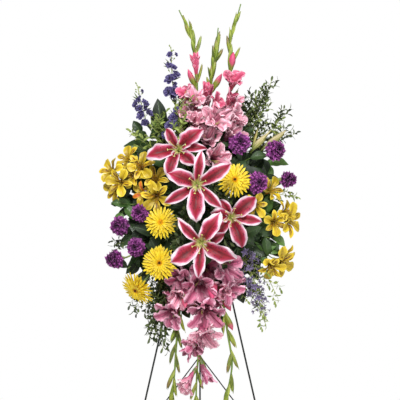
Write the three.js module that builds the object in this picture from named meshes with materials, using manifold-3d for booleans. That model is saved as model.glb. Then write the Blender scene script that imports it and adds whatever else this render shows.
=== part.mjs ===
// A standing spray of cut flowers: lilies, gladioli, gerberas, carnations, alstroemerias, larkspur and
// greenery pushed into a wet foam block, whose plastic cage hangs on a folding wire easel.
// Millimetres. +Z is up and the flowers face -Y. Below, the easel's hinge is over x = 0, y = 0.

import * as THREE from "three";
import Module from "manifold-3d";

const wasm = await Module();
wasm.setup();

// Driving dimensions
const CLEAR = 0.4; // gap between two pieces that touch
const HINGE_HEIGHT = 1215; // the easel's hinge bar
const LEG_WIRE = 3; // radii of the wires
const BRACE_WIRE = 2;
const FRONT_FOOT = { x: 290, y: -215 };
const REAR_FOOT_Y = 400;
const HEAD_HALF = 15; // half the length of the hinge bar
const BRACE_FOOT_Z = 441; // where the brace meets the front legs
const BRACE_EYE_Z = 640; // where it meets the rear leg
const FOAM = { x: 55, back: -41.6, front: -123.5, bottom: 1020, top: 1270 };
const CAGE = { wall: 2.5, rim: 21, bottom: 1008, top: 1312, hoop: 3.5, hoops: [1036, 1254] };
const SLOT = { x: 17, bottom: 1284, top: 1297 };
const SINK = 26; // how far a stem is pushed into the foam
const BLADE = 1.3; // thickness of a petal or leaf at its midrib
const GOLDEN = 2.39996; // the angle from one leaf to the next up a stem, in radians

const COLOUR = {
  wire: [0x2e3a36, 0.45, 0.6],
  cage: [0x1f4a2c, 0.5, 0],
  foam: [0x3f6b3a, 0.95, 0],
  lily: [0xd03f6e, 0.55, 0],
  green: [0x9db24a, 0.6, 0],
  gladiolus: [0xe27aa0, 0.6, 0],
  gerbera: [0xf4cf1a, 0.6, 0],
  carnation: [0x7a2784, 0.7, 0],
  alstroemeria: [0xe2bf2a, 0.6, 0],
  larkspur: [0x4a3f93, 0.65, 0],
  leaf: [0x2c4a22, 0.4, 0],
  small_leaf: [0x4c5f33, 0.55, 0],
};

// Points and axes

const at = (list) => new THREE.Vector3(...list);
const mix = (a, b, t) => a.clone().lerp(b, t);
const along = (p, direction, distance) => p.clone().addScaledVector(direction, distance);
const degrees = (value) => (value * Math.PI) / 180;

// A flower's own axes: out along its face, then right and up across it.
function axesOf(face) {
  const out = at(face).normalize();
  const right = new THREE.Vector3(0, 0, 1).cross(out).normalize();
  return { out, right, up: out.clone().cross(right) };
}

function radial(axes, angle) {
  return axes.right.clone().multiplyScalar(Math.cos(angle)).addScaledVector(axes.up, Math.sin(angle));
}

// Closed bodies

// Skins a list of rings, each of the same number of points or of one point, and closes both ends.
function skin(rings) {
  const points = [];
  const starts = rings.map((ring) => points.push(...ring) - ring.length);
  const faces = [];
  for (let i = 0; i + 1 < rings.length; i++) {
    const [a, b] = [rings[i].length, rings[i + 1].length];
    const count = Math.max(a, b);
    for (let k = 0; k < count; k++) {
      const next = (k + 1) % count;
      const [a0, a1] = a > 1 ? [starts[i] + k, starts[i] + next] : [starts[i], starts[i]];
      const [b0, b1] = b > 1 ? [starts[i + 1] + k, starts[i + 1] + next] : [starts[i + 1], starts[i + 1]];
      if (a > 1) faces.push(a0, a1, b0);
      if (b > 1) faces.push(a1, b1, b0);
    }
  }
  for (let k = 2; k < rings[0].length; k++) faces.push(0, k, k - 1);
  const last = starts.at(-1);
  for (let k = 2; k < rings.at(-1).length; k++) faces.push(last, last + k - 1, last + k);
  let volume = 0;
  for (let i = 0; i < faces.length; i += 3) {
    const [a, b, c] = [points[faces[i]], points[faces[i + 1]], points[faces[i + 2]]];
    volume += a.dot(b.clone().cross(c));
  }
  return new wasm.Manifold(
    new wasm.Mesh({
      numProp: 3,
      vertProperties: Float32Array.from(points.flatMap((p) => [p.x, p.y, p.z])),
      triVerts: Uint32Array.from(volume > 0 ? faces : faces.reverse()),
    }),
  );
}

const join = (solids) => solids.reduce((whole, solid) => whole.add(solid));

// A tube through points, with a radius at each, whose rings turn as little as they can.
function tube(points, radii, sides = 6) {
  let across = null;
  const rings = points.map((p, i) => {
    const tangent = points[Math.min(i + 1, points.length - 1)].clone().sub(points[Math.max(i - 1, 0)]).normalize();
    if (!across) across = Math.abs(tangent.z) < 0.9 ? at([0, 0, 1]) : at([1, 0, 0]);
    across = across.clone().addScaledVector(tangent, -across.dot(tangent)).normalize();
    const other = tangent.clone().cross(across);
    const radius = Array.isArray(radii) ? radii[i] : radii;
    if (radius === 0) return [p];
    return Array.from({ length: sides }, (_, k) => {
      const angle = (k * 2 * Math.PI) / sides;
      return along(along(p, across, radius * Math.cos(angle)), other, radius * Math.sin(angle));
    });
  });
  return skin(rings);
}

// A thin leaf-like body along points: at each, its width, how far its edges lift, and the way its face looks.
function blade(points, widths, lifts, face, thick = BLADE) {
  const rings = points.map((p, i) => {
    if (widths[i] === 0) return [p];
    const tangent = points[Math.min(i + 1, points.length - 1)].clone().sub(points[Math.max(i - 1, 0)]).normalize();
    const side = tangent.clone().cross(face).normalize();
    const normal = side.clone().cross(tangent).normalize();
    const edge = along(p, normal, lifts[i]);
    const half = widths[i] / 2;
    return [
      along(edge, side, -half),
      along(p, normal, thick / 2),
      along(edge, side, half),
      along(p, normal, -thick / 2),
    ];
  });
  return skin(rings);
}

// A petal that leaves a flower's centre at an angle. Its outline rows are [reach, rise, width, lift], as shares of
// its length and width.
function petal(base, axes, angle, length, width, outline, thick = BLADE) {
  const way = radial(axes, angle);
  const points = outline.map(([reach, rise]) => along(along(base, way, reach * length), axes.out, rise * length));
  const face = axes.out.clone().addScaledVector(way, -0.35).normalize();
  return blade(points, outline.map((row) => row[2] * width), outline.map((row) => row[3] * width), face, thick);
}

// A shallow star-shaped cup, sharp at its mouth.
function cup(root, mouth, radius, lobes, notch, depth = 0.5) {
  const axes = axesOf(mouth.clone().sub(root).toArray());
  const ring = Array.from({ length: lobes * 2 }, (_, k) =>
    along(
      along(mouth, axes.out, -radius * 0.12 * (k % 2)),
      radial(axes, (k * Math.PI) / lobes),
      radius * (k % 2 ? notch : 1),
    ),
  );
  return skin([[root], ring, [mix(mouth, root, depth)]]);
}

// A small closed bud: root, widest place and tip.
function spindle(root, tip, radius, sides = 3, widest = 0.5) {
  return tube([root, mix(root, tip, widest), tip], [0, radius, 0], sides);
}

// The group and its nodes

const spray = new THREE.Group();
const bores = [];

function material([colour, roughness, metalness]) {
  return new THREE.MeshStandardMaterial({ color: colour, roughness, metalness });
}

function place(name, solid, look) {
  const { vertProperties, triVerts, numProp } = solid.getMesh();
  const positions = new Float32Array((vertProperties.length / numProp) * 3);
  for (let i = 0; i < positions.length / 3; i++) {
    positions.set(vertProperties.subarray(i * numProp, i * numProp + 3), i * 3);
  }
  const geometry = new THREE.BufferGeometry();
  geometry.setAttribute("position", new THREE.BufferAttribute(positions, 3));
  geometry.setIndex(new THREE.BufferAttribute(triVerts, 1));
  const mesh = new THREE.Mesh(geometry, material(look));
  mesh.name = name;
  spray.add(mesh);
}

function solidOf(geometry) {
  const flat = geometry.index ? geometry.toNonIndexed() : geometry;
  const positions = flat.getAttribute("position").array;
  const mesh = new wasm.Mesh({
    numProp: 3,
    vertProperties: positions,
    triVerts: Uint32Array.from({ length: positions.length / 3 }, (_, i) => i),
  });
  mesh.merge();
  return new wasm.Manifold(mesh);
}

function box(low, high) {
  const size = at(high).sub(at(low));
  const geometry = new THREE.BoxGeometry(size.x, size.y, size.z);
  const middle = mix(at(low), at(high), 0.5);
  return solidOf(geometry.translate(middle.x, middle.y, middle.z));
}

// The easel

const hinge = at([0, 0, HINGE_HEIGHT]);
const frontLegAt = (side, z) => {
  const share = (HINGE_HEIGHT - z) / HINGE_HEIGHT;
  return at([side * (HEAD_HALF + (FRONT_FOOT.x - HEAD_HALF) * share), FRONT_FOOT.y * share, z]);
};
const rearLegAt = (z) => at([0, (REAR_FOOT_Y * (HINGE_HEIGHT - z)) / HINGE_HEIGHT, z]);

// A round wire whose two ends are cut level, so that a leg stands on a flat spot.
function level(a, b, radius, sides = 8) {
  const ring = (p) =>
    Array.from({ length: sides }, (_, k) => {
      const angle = ((k + 0.5) * 2 * Math.PI) / sides;
      return p.clone().add(at([radius * Math.cos(angle), radius * Math.sin(angle), 0]));
    });
  return skin([ring(a), ring(b)]);
}

function frontLeg(side) {
  return level(frontLegAt(side, 0), frontLegAt(side, HINGE_HEIGHT - LEG_WIRE - 5), LEG_WIRE);
}

// The bar that both front legs are welded to, and the double hook that holds the cage.
function easelHead() {
  const bar = tube([at([-HEAD_HALF - 4, 0, HINGE_HEIGHT]), at([HEAD_HALF + 4, 0, HINGE_HEIGHT])], LEG_WIRE, 8);
  const stub = (side) =>
    level(frontLegAt(side, HINGE_HEIGHT - LEG_WIRE - 5 + CLEAR), frontLegAt(side, HINGE_HEIGHT), LEG_WIRE + 0.6);
  const reach = FOAM.back - 10;
  const rest = SLOT.top - LEG_WIRE * 0.8 - CLEAR;
  const hook = [
    [-12, 0, HINGE_HEIGHT],
    [-12, 1, 1262],
    [-12, -8, rest - 3],
    [-12, reach + 6, rest],
    [-12, reach, rest + 5],
    [-12, reach, 1309],
    [12, reach, 1309],
    [12, reach, rest + 5],
    [12, reach + 6, rest],
    [12, -8, rest - 3],
    [12, 1, 1262],
    [12, 0, HINGE_HEIGHT],
  ];
  return join([bar, stub(-1), stub(1), tube(hook.map(at), LEG_WIRE * 0.8, 6)]);
}

// A flat ring, open round the bar that it turns on.
function eye(centre, hole, outer, half, sides = 10) {
  const ring = (radius, x) =>
    Array.from({ length: sides }, (_, k) => {
      const angle = ((k + 0.5) * 2 * Math.PI) / sides;
      return at([centre.x + x, centre.y + radius * Math.cos(angle), centre.z + radius * Math.sin(angle)]);
    });
  return skin([ring(outer, -half), ring(outer, half)]).subtract(skin([ring(hole, -half - 1), ring(hole, half + 1)]));
}

function rearLeg() {
  const collar = { hole: LEG_WIRE + 0.7, outer: LEG_WIRE + 5 };
  const top = rearLegAt(HINGE_HEIGHT - LEG_WIRE - 3);
  const leg = level(rearLegAt(0), top, LEG_WIRE);
  return join([leg, eye(hinge, collar.hole, collar.outer, 3)]).subtract(
    tube([at([-9, 0, HINGE_HEIGHT]), at([9, 0, HINGE_HEIGHT])], collar.hole, 10),
  );
}

// The V that keeps the legs apart: two wires from a ring on the rear leg to the inside of the front legs.
function legBrace() {
  const apex = rearLegAt(BRACE_EYE_Z);
  const side = LEG_WIRE + CLEAR + BRACE_WIRE + 0.2;
  const arm = (way) => {
    const foot = frontLegAt(way, BRACE_FOOT_Z);
    const stop = foot.clone().add(at([-way * (LEG_WIRE + BRACE_WIRE + 0.5), 2, 0]));
    const start = apex.clone().add(at([way * side, 0, 0]));
    return tube([start, mix(start, stop, 0.5), stop], BRACE_WIRE, 6);
  };
  const ring = [180, 135, 90, 45, 0].map((turn) =>
    apex.clone().add(at([side * Math.cos(degrees(turn)), 2 * side * Math.sin(degrees(turn)), 0])),
  );
  return join([arm(-1), arm(1), tube(ring, BRACE_WIRE, 6)]);
}

place("front_leg_left", frontLeg(-1), COLOUR.wire);
place("front_leg_right", frontLeg(1), COLOUR.wire);
place("easel_head", easelHead(), COLOUR.wire);
place("rear_leg", rearLeg(), COLOUR.wire);
place("leg_brace", legBrace(), COLOUR.wire);

// Stems and the foam

// Each side of the foam that a stem can enter: the way in.
const WAY_IN = { front: [0, 1, 0], left: [1, 0, 0], right: [-1, 0, 0], top: [0, 0, -1], bottom: [0, 0, 1] };

// The point on a side of the foam for two coordinates across it.
function socket(side, a, b) {
  return at({
    front: [a, FOAM.front, b],
    left: [-FOAM.x, a, b],
    right: [FOAM.x, a, b],
    top: [a, b, FOAM.top],
    bottom: [a, b, FOAM.bottom],
  }[side]);
}

// A stem from its socket to the points beyond. It also bores the foam, a little wider and deeper than itself.
function stem([side, a, b], beyond, radii, steps, sides = 4) {
  const entry = socket(side, a, b);
  const way = at(WAY_IN[side]).addScaledVector(beyond[0].clone().sub(entry).normalize(), -0.5).normalize();
  const end = along(entry, way, SINK);
  const lip = along(entry, way, -6);
  const curve = new THREE.CatmullRomCurve3([lip, ...beyond], false, "centripetal");
  const points = [end, ...curve.getPoints(steps)];
  const path = new THREE.CurvePath();
  points.slice(2).forEach((p, i) => path.add(new THREE.LineCurve3(points[i + 1], p)));
  const sizes = points.map((_, i) => radii[0] + ((radii[1] - radii[0]) * Math.max(i - 1, 0)) / steps);
  bores.push(tube([along(end, way, CLEAR), lip], sizes[0] + CLEAR, sides));
  return { solid: tube(points, sizes, sides), curve: path };
}

// The bend of a stem that carries one bloom, from the socket to the bloom's back.
function carry(place_, base, axes, radius, back, steps = 3) {
  const entry = socket(...place_);
  const knee = along(base, axes.out, -back * 1.5);
  const bend = mix(entry, knee, 0.62).add(at([0, -back * 0.15, 0]));
  return stem(place_, [bend, knee, along(base, axes.out, -back)], [radius, radius], steps);
}

// A point of a curve at a height, for stems that climb or fall all the way.
function atHeight(curve, z) {
  const [start, end] = [curve.getPoint(0).z, curve.getPoint(1).z];
  let [low, high] = [0, 1];
  for (let i = 0; i < 24; i++) {
    const middle = (low + high) / 2;
    if (curve.getPoint(middle).z > z === end > start) high = middle;
    else low = middle;
  }
  return curve.getPoint(low);
}

// Lilies: each tepal is [angle in degrees, reach in the view, width].
const LILIES = [
  {
    base: [-63, -215, 1302], face: [-0.1, -1, 0.12], socket: ["front", -14, 1214],
    tepals: [[191, 96, 42], [120, 72, 32], [45, 92, 44], [4, 84, 30], [246, 88, 34], [312, 72, 40]],
  },
  {
    base: [-9, -265, 1200], face: [0, -1, 0], socket: ["front", -3, 1172],
    tepals: [[153, 90, 44], [85, 98, 32], [26, 112, 38], [314, 96, 32], [264, 108, 46], [214, 106, 34]],
  },
  {
    base: [90, -205, 1104], face: [0.12, -1, 0], socket: ["front", 18, 1128],
    tepals: [[45, 92, 44], [353, 92, 32], [292, 94, 42], [225, 76, 32], [170, 62, 36], [118, 62, 30]],
  },
  {
    base: [3, -250, 1032], face: [0, -1, -0.08], socket: ["front", 3, 1094],
    tepals: [[64, 104, 44], [137, 98, 32], [214, 104, 46], [264, 102, 34], [331, 112, 46], [12, 72, 32]],
  },
];
const TEPAL = [
  [0.05, 0, 0, 0],
  [0.32, 0.31, 0.78, 0.05],
  [0.64, 0.44, 1, 0.09],
  [1, 0.28, 0, 0],
];
const LILY_NECK = 5;

function lily({ base, face, tepals, socket: entry }) {
  const [centre, axes] = [at(base), axesOf(face)];
  const collar = tube([along(centre, axes.out, -6), along(centre, axes.out, 4)], LILY_NECK + 4, 6);
  const bore = tube([along(centre, axes.out, -20), along(centre, axes.out, 30)], LILY_NECK + CLEAR, 6);
  const petals = tepals.map(([angle, reach, width], i) =>
    petal(along(centre, axes.out, i % 2 ? -1.5 : 1), axes, degrees(angle), reach, width, TEPAL),
  );
  const carried = carry(entry, centre, axes, 4, 10);
  const neck = tube(
    [-12, 10].map((rise) => along(centre, axes.out, rise)),
    [LILY_NECK, LILY_NECK],
    6,
  );
  const pistil = tube([9, 66].map((rise) => along(centre, axes.out, rise)), [1.8, 2.6], 3);
  const filament = (k) => {
    const way = radial(axes, degrees(k * 60 + 20));
    const root = along(along(centre, axes.out, 9), way, 3);
    const tip = along(along(centre, way, 24), axes.out, 52);
    const anther = along(along(tip, way, 3), axes.out, 11);
    return tube([root, tip, mix(tip, anther, 0.5), anther], [1, 0.9, 2.2, 0], 3);
  };
  return {
    petals: join([collar, ...petals]).subtract(bore),
    green: join([carried.solid, neck, pistil, ...[0, 1, 2, 3, 4, 5].map(filament)]),
  };
}

LILIES.forEach((spec, i) => {
  const { petals, green } = lily(spec);
  place(`lily_${i + 1}_petals`, petals, COLOUR.lily);
  place(`lily_${i + 1}_stem`, green, COLOUR.green);
});

// Two long closed buds on one lily stem.
function lilyBuds() {
  const fork = at([150, -140, 1298]);
  const carried = stem(["right", -84, 1236], [at([95, -124, 1262]), fork], [3.5, 3], 4);
  const bud = (from, to, radius) =>
    tube([fork, at(from), mix(at(from), at(to), 0.35), mix(at(from), at(to), 0.8), at(to)], [2, 3, radius, radius * 0.8, 0], 6);
  return join([carried.solid, bud([158, -144, 1304], [203, -150, 1354], 11), bud([172, -132, 1296], [256, -132, 1362], 9)]);
}
place("lily_buds", lilyBuds(), COLOUR.green);

// Gladioli: a spike through route, buds as [tip x, y, z, length, radius] and florets as [mouth x, y, z, radius, rise].
const GLADIOLI = [
  {
    socket: ["top", -20, -98],
    route: [[-20, -108, 1340], [-14, -128, 1420], [-9, -138, 1480], [-12, -142, 1560], [-22, -144, 1632], [-40, -146, 1676], [-63, -148, 1725]],
    buds: [[-30, -140, 1526, 44, 5], [-2, -150, 1478, 44, 7], [-36, -150, 1548, 64, 8], [8, -146, 1562, 56, 6], [-20, -146, 1606, 60, 5], [5, -142, 1648, 64, 7], [-30, -150, 1692, 60, 7], [-52, -140, 1712, 56, 6]],
    florets: [[-14, -168, 1566, 18, 60], [-50, -174, 1480, 30, 46], [-44, -188, 1410, 27, 44], [-14, -192, 1456, 27, 42], [-14, -206, 1394, 26, 50]],
  },
  {
    socket: ["top", 3, -98],
    route: [[6, -112, 1340], [22, -122, 1420], [32, -126, 1480], [39, -128, 1548], [48, -130, 1606], [55, -130, 1674]],
    buds: [[22, -132, 1526, 46, 6], [26, -130, 1556, 50, 6], [66, -136, 1536, 62, 8], [70, -132, 1612, 52, 7], [40, -134, 1622, 60, 7], [62, -132, 1656, 56, 6]],
    florets: [[23, -160, 1478, 22, 50], [52, -178, 1446, 24, 40], [50, -212, 1396, 38, 44], [34, -204, 1338, 34, 44], [56, -208, 1286, 38, 22]],
  },
  {
    socket: ["top", 27, -98],
    route: [[38, -106, 1330], [72, -118, 1410], [88, -124, 1470], [93, -128, 1545], [91, -130, 1630], [106, -130, 1684], [123, -130, 1746]],
    buds: [[116, -136, 1486, 48, 6], [101, -140, 1600, 60, 9], [122, -132, 1616, 60, 5], [92, -138, 1668, 52, 7], [112, -134, 1716, 52, 8]],
    florets: [[102, -174, 1520, 32, 44], [92, -172, 1458, 22, 40], [114, -178, 1402, 34, 44], [98, -172, 1352, 26, 40]],
  },
  {
    socket: ["bottom", -20, -82],
    route: [[-34, -110, 930], [-56, -146, 850], [-66, -156, 780], [-72, -160, 705], [-76, -162, 640], [-84, -164, 555], [-93, -166, 486]],
    buds: [[-48, -168, 764, 52, 7], [-89, -166, 732, 56, 7], [-56, -166, 712, 56, 7], [-92, -164, 668, 60, 7], [-62, -164, 636, 60, 7], [-100, -166, 590, 60, 8], [-72, -164, 568, 56, 7], [-100, -166, 510, 48, 6]],
    florets: [[-88, -192, 812, 34, 40], [-58, -178, 908, 34, 26], [-64, -196, 866, 24, 36]],
  },
  {
    socket: ["bottom", 0, -82],
    route: [[0, -120, 930], [2, -150, 860], [2, -162, 780], [-4, -166, 700], [-9, -168, 640], [-12, -170, 555], [-15, -170, 440]],
    buds: [[20, -176, 640, 56, 6], [-30, -172, 560, 52, 7], [8, -174, 590, 56, 7], [-22, -172, 486, 52, 7], [4, -172, 520, 52, 7]],
    florets: [[-2, -208, 896, 34, 38], [18, -210, 818, 38, 40], [8, -200, 750, 35, 44], [-36, -188, 706, 22, 44], [20, -192, 632, 22, 56], [-42, -190, 604, 23, 56]],
  },
  {
    socket: ["bottom", 21, -82],
    route: [[36, -112, 940], [56, -138, 900], [68, -146, 850], [84, -150, 750], [96, -152, 664], [87, -154, 600], [78, -156, 545], [68, -156, 486]],
    buds: [[92, -156, 822, 60, 9], [58, -156, 800, 50, 6], [98, -156, 764, 60, 8], [68, -152, 756, 56, 7], [106, -154, 712, 56, 7], [112, -156, 652, 56, 7], [80, -160, 636, 60, 7], [96, -158, 580, 56, 7], [66, -158, 520, 50, 6]],
    florets: [[80, -184, 952, 35, 16], [90, -182, 888, 30, 26], [56, -186, 880, 26, 36]],
  },
];

function gladiolus({ socket: entry, route, buds, florets }) {
  const { solid, curve } = stem(entry, route.map(at), [5, 1.8], 8);
  const falls = curve.getPoint(1).z < curve.getPoint(0).z ? -1 : 1;
  const parts = [solid];
  for (const [x, y, z, length, radius] of buds) {
    parts.push(spindle(atHeight(curve, z - falls * length), at([x, y, z]), radius));
  }
  for (const [x, y, z, radius, rise] of florets) {
    parts.push(cup(atHeight(curve, z - falls * rise), at([x, y, z]), radius, 6, 0.68, 0.42));
  }
  return join(parts);
}
GLADIOLI.forEach((spec, i) => place(`gladiolus_${i + 1}`, gladiolus(spec), COLOUR.gladiolus));

// Gerberas: two rings of strap petals round a domed eye, on a stem with a green cup.
const GERBERAS = [
  { base: [102, -222, 1215], face: [0.1, -1, 0.1], radius: 50, socket: ["front", 20, 1176] },
  { base: [-116, -212, 1089], face: [-0.1, -1, 0.1], radius: 47, socket: ["front", -23, 1121] },
  { base: [-120, -212, 969], face: [0, -1, 0], radius: 51, socket: ["front", -23, 1071] },
  { base: [-189, -176, 888], face: [-0.3, -0.85, -0.4], radius: 48, socket: ["left", -108, 1048] },
];
const STRAP = { outer: 14, inner: 8 };

function gerbera({ base, face, radius, socket: entry }) {
  const [centre, axes] = [at(base), axesOf(face)];
  const eyeball = tube([-6, 3, 6].map((rise) => along(centre, axes.out, rise)), [13, 13, 0], 8);
  const strap = (count, reach, width, rises, turn) =>
    Array.from({ length: count }, (_, k) =>
      petal(centre, axes, (k + turn) * ((2 * Math.PI) / count), reach, width, [
        [0.12, rises[0], 0, 0],
        [0.7, rises[1], 1, 0.06],
        [1, rises[2], 0, 0],
      ]),
    );
  const sepals = tube([-17, -6 - CLEAR].map((rise) => along(centre, axes.out, rise)), [4, 11], 6);
  return {
    head: join([
      eyeball,
      ...strap(STRAP.outer, radius, radius * 0.28, [-0.04, -0.03, -0.1], 0),
      ...strap(STRAP.inner, radius * 0.72, radius * 0.26, [0.04, 0.17, 0.2], 0.5),
    ]),
    green: join([carry(entry, centre, axes, 3.5, 14).solid, sepals]),
  };
}
GERBERAS.forEach((spec, i) => {
  const { head, green } = gerbera(spec);
  place(`gerbera_${i + 1}_head`, head, COLOUR.gerbera);
  place(`gerbera_${i + 1}_stem`, green, COLOUR.green);
});

// Carnations: ruffled, toothed collars of petals one inside the other, in a green tube on the stem.
const CARNATIONS = [
  { base: [117, -186, 1322], face: [0.1, -1, 0.2], radius: 33, socket: ["front", 24, 1220] },
  { base: [222, -166, 1302], face: [0.5, -1, 0.2], radius: 32, socket: ["right", -100, 1218] },
  { base: [168, -190, 1206], face: [0.25, -1, 0], radius: 34, socket: ["right", -112, 1180] },
  { base: [258, -148, 1216], face: [0.9, -0.8, 0], radius: 27, socket: ["right", -92, 1190] },
  { base: [-177, -180, 1116], face: [-0.2, -1, 0.1], radius: 28, socket: ["left", -112, 1134] },
  { base: [-236, -158, 1077], face: [-0.55, -0.9, 0], radius: 31, socket: ["left", -98, 1116] },
  { base: [-189, -180, 1015], face: [-0.2, -1, 0], radius: 29, socket: ["left", -112, 1096] },
  { base: [-250, -146, 978], face: [-0.7, -0.8, -0.1], radius: 30, socket: ["left", -96, 1072] },
];
const RUFFLES = [
  { share: 1, rise: 0.28, teeth: 8, depth: 0.2 },
  { share: 0.8, rise: 0.68, teeth: 6, depth: 0.2 },
  { share: 0.46, rise: 0.98, teeth: 4, depth: 0.3 },
];

function carnation({ base, face, radius, socket: entry }) {
  const [centre, axes] = [at(base), axesOf(face)];
  const root = along(centre, axes.out, -16);
  const calyx = tube([-34, -12].map((rise) => along(centre, axes.out, rise)), [4, 7.5], 5);
  const ruffles = RUFFLES.map(({ share, rise, teeth, depth }) =>
    cup(root, along(centre, axes.out, rise * radius), radius * share, teeth, 0.76, depth),
  );
  return join([carry(entry, centre, axes, 2.6, 30).solid, calyx, ...ruffles]);
}
CARNATIONS.forEach((spec, i) => place(`carnation_${i + 1}`, carnation(spec), COLOUR.carnation));

// Alstroemerias: a few lily-like florets on short stalks from the top of one stem. Each is [mouth x, y, z, radius].
const ALSTROEMERIAS = [
  { socket: ["left", -92, 1172], fork: [-214, -122, 1206], florets: [[-272, -152, 1248, 27], [-244, -178, 1208, 28], [-262, -146, 1180, 24]] },
  { socket: ["left", -108, 1200], fork: [-168, -134, 1228], florets: [[-222, -158, 1284, 27], [-178, -188, 1258, 28], [-204, -176, 1228, 24]] },
  { socket: ["left", -112, 1160], fork: [-122, -150, 1178], florets: [[-134, -196, 1222, 27], [-132, -206, 1162, 30], [-176, -184, 1176, 24]] },
  { socket: ["right", -112, 1148], fork: [150, -146, 1150], florets: [[219, -170, 1188, 29], [172, -196, 1140, 30]] },
  { socket: ["right", -98, 1120], fork: [206, -130, 1096], florets: [[226, -172, 1086, 26], [276, -150, 1092, 32]] },
  { socket: ["right", -100, 1068], fork: [196, -128, 1000], florets: [[246, -160, 962, 33], [214, -172, 950, 26]] },
];

function alstroemeria({ socket: entry, fork, florets }) {
  const top = at(fork);
  const start = socket(...entry);
  const { solid } = stem(entry, [mix(start, top, 0.5), top], [3, 2.4], 3);
  const parts = [solid];
  florets.forEach(([x, y, z, radius]) => {
    const mouth = at([x, y, z]);
    const root = mix(mouth, top, Math.min(1, 42 / mouth.distanceTo(top)));
    parts.push(tube([top, mix(root, mouth, 0.25)], 1.7, 3));
    parts.push(cup(root, mouth, radius * 1.15, 6, 0.46, 0.45));
  });
  return join(parts);
}
ALSTROEMERIAS.forEach((spec, i) => place(`alstroemeria_${i + 1}`, alstroemeria(spec), COLOUR.alstroemeria));

// Larkspur: short-stalked florets round a thin stem, with buds towards its tip. Florets are [x, y, z, radius].
const LARKSPURS = [
  {
    socket: ["top", -32, -84],
    route: [[-50, -96, 1350], [-72, -112, 1425], [-84, -118, 1530], [-88, -120, 1618]],
    florets: [[-92, -138, 1594, 10], [-78, -136, 1556, 9], [-70, -128, 1536, 11], [-92, -140, 1520, 15], [-98, -136, 1482, 14], [-77, -140, 1484, 14], [-60, -128, 1466, 10]],
  },
  {
    socket: ["top", -46, -78],
    route: [[-90, -92, 1320], [-150, -106, 1368], [-176, -110, 1440], [-190, -112, 1504]],
    florets: [[-196, -126, 1446, 11], [-184, -130, 1432, 12], [-166, -124, 1450, 11], [-180, -132, 1410, 12], [-152, -122, 1420, 11], [-168, -132, 1390, 11]],
  },
  {
    socket: ["top", -42, -104],
    route: [[-60, -122, 1310], [-84, -138, 1356], [-70, -148, 1400], [-62, -150, 1430]],
    florets: [[-68, -166, 1424, 12], [-80, -172, 1402, 13], [-92, -168, 1378, 13], [-106, -160, 1352, 12], [-72, -178, 1384, 11]],
  },
  {
    socket: ["right", -106, 1044],
    route: [[96, -128, 1016], [138, -146, 968], [158, -150, 925], [176, -152, 858], [196, -152, 790]],
    florets: [[134, -168, 1000, 13], [158, -168, 984, 13], [150, -172, 952, 13], [176, -166, 944, 13], [142, -166, 916, 13], [164, -172, 896, 13], [148, -164, 876, 12], [176, -168, 862, 12]],
  },
];

function larkspur({ socket: entry, route, florets }) {
  const { solid, curve } = stem(entry, route.map(at), [2.6, 1.2], 5);
  const parts = [solid];
  const falls = curve.getPoint(1).z < curve.getPoint(0).z ? -1 : 1;
  for (const [x, y, z, radius] of florets) {
    const root = atHeight(curve, z - falls * 14);
    parts.push(cup(root, at([x, y, z]), radius, 5, 0.55, 0.4));
  }
  for (let k = 0; k < 4; k++) {
    const root = curve.getPoint(0.86 + k * 0.04);
    const way = radial(axesOf([0.2, -1, 0.1]), k * GOLDEN);
    parts.push(spindle(root, along(root, way, 12).add(at([0, 0, falls * 6])), 3, 3));
  }
  return join(parts);
}
LARKSPURS.forEach((spec, i) => place(`larkspur_${i + 1}`, larkspur(spec), COLOUR.larkspur));

// Small-leaved sprays: short oval leaves spiralling round a thin twig, from a share of its length to its tip.
const BOXWOODS = [
  { socket: ["top", 34, -80], route: [[70, -90, 1310], [150, -104, 1340], [168, -108, 1400], [168, -108, 1478]], from: 0.38, leaves: 18 },
  { socket: ["top", 45, -69], route: [[90, -68, 1300], [164, -68, 1350], [192, -72, 1430], [219, -76, 1522]], from: 0.36, leaves: 15 },
  { socket: ["top", 15, -80], route: [[50, -88, 1330], [118, -96, 1370], [146, -98, 1410], [131, -98, 1448]], from: 0.5, leaves: 13 },
  { socket: ["right", -70, 1246], route: [[110, -82, 1290], [196, -96, 1346], [236, -98, 1394], [256, -98, 1434]], from: 0.42, leaves: 15 },
  { socket: ["bottom", -40, -76], route: [[-84, -104, 940], [-122, -132, 880], [-138, -140, 810], [-153, -142, 735]], from: 0.31, leaves: 21 },
  { socket: ["bottom", -6, -72], route: [[-50, -84, 930], [-94, -104, 850], [-100, -110, 770], [-114, -112, 702]], from: 0.5, leaves: 13 },
];
const SMALL_LEAF = { length: 24, half: 5.6 };

function boxwood({ socket: entry, route, from, leaves }) {
  const { solid, curve } = stem(entry, route.map(at), [2.2, 1], 5, 3);
  const parts = [solid];
  for (let k = 0; k < leaves; k++) {
    const share = from + ((0.985 - from) * k) / (leaves - 1);
    const root = curve.getPoint(share);
    const tangent = curve.getTangent(share);
    const axes = axesOf(tangent.toArray());
    const way = radial(axes, k * GOLDEN);
    const lean = k === leaves - 1 ? 2 : 0.55;
    const direction = way.addScaledVector(tangent, lean).normalize();
    const tip = along(root, direction, SMALL_LEAF.length * (1 - 0.3 * Math.max(0, share - 0.6)));
    const side = direction.clone().cross(tangent).normalize();
    const middle = mix(root, tip, 0.55);
    const widest = [
      along(middle, side, -SMALL_LEAF.half),
      along(middle, side, SMALL_LEAF.half),
      along(middle, tangent, -1.2),
    ];
    parts.push(skin([[root], widest, [tip]]));
  }
  return join(parts);
}
BOXWOODS.forEach((spec, i) => place(`boxwood_${i + 1}`, boxwood(spec), COLOUR.small_leaf));

const LEAF_LENGTH = 2.4; // of the longest broad leaves, as a share of their width

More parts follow.
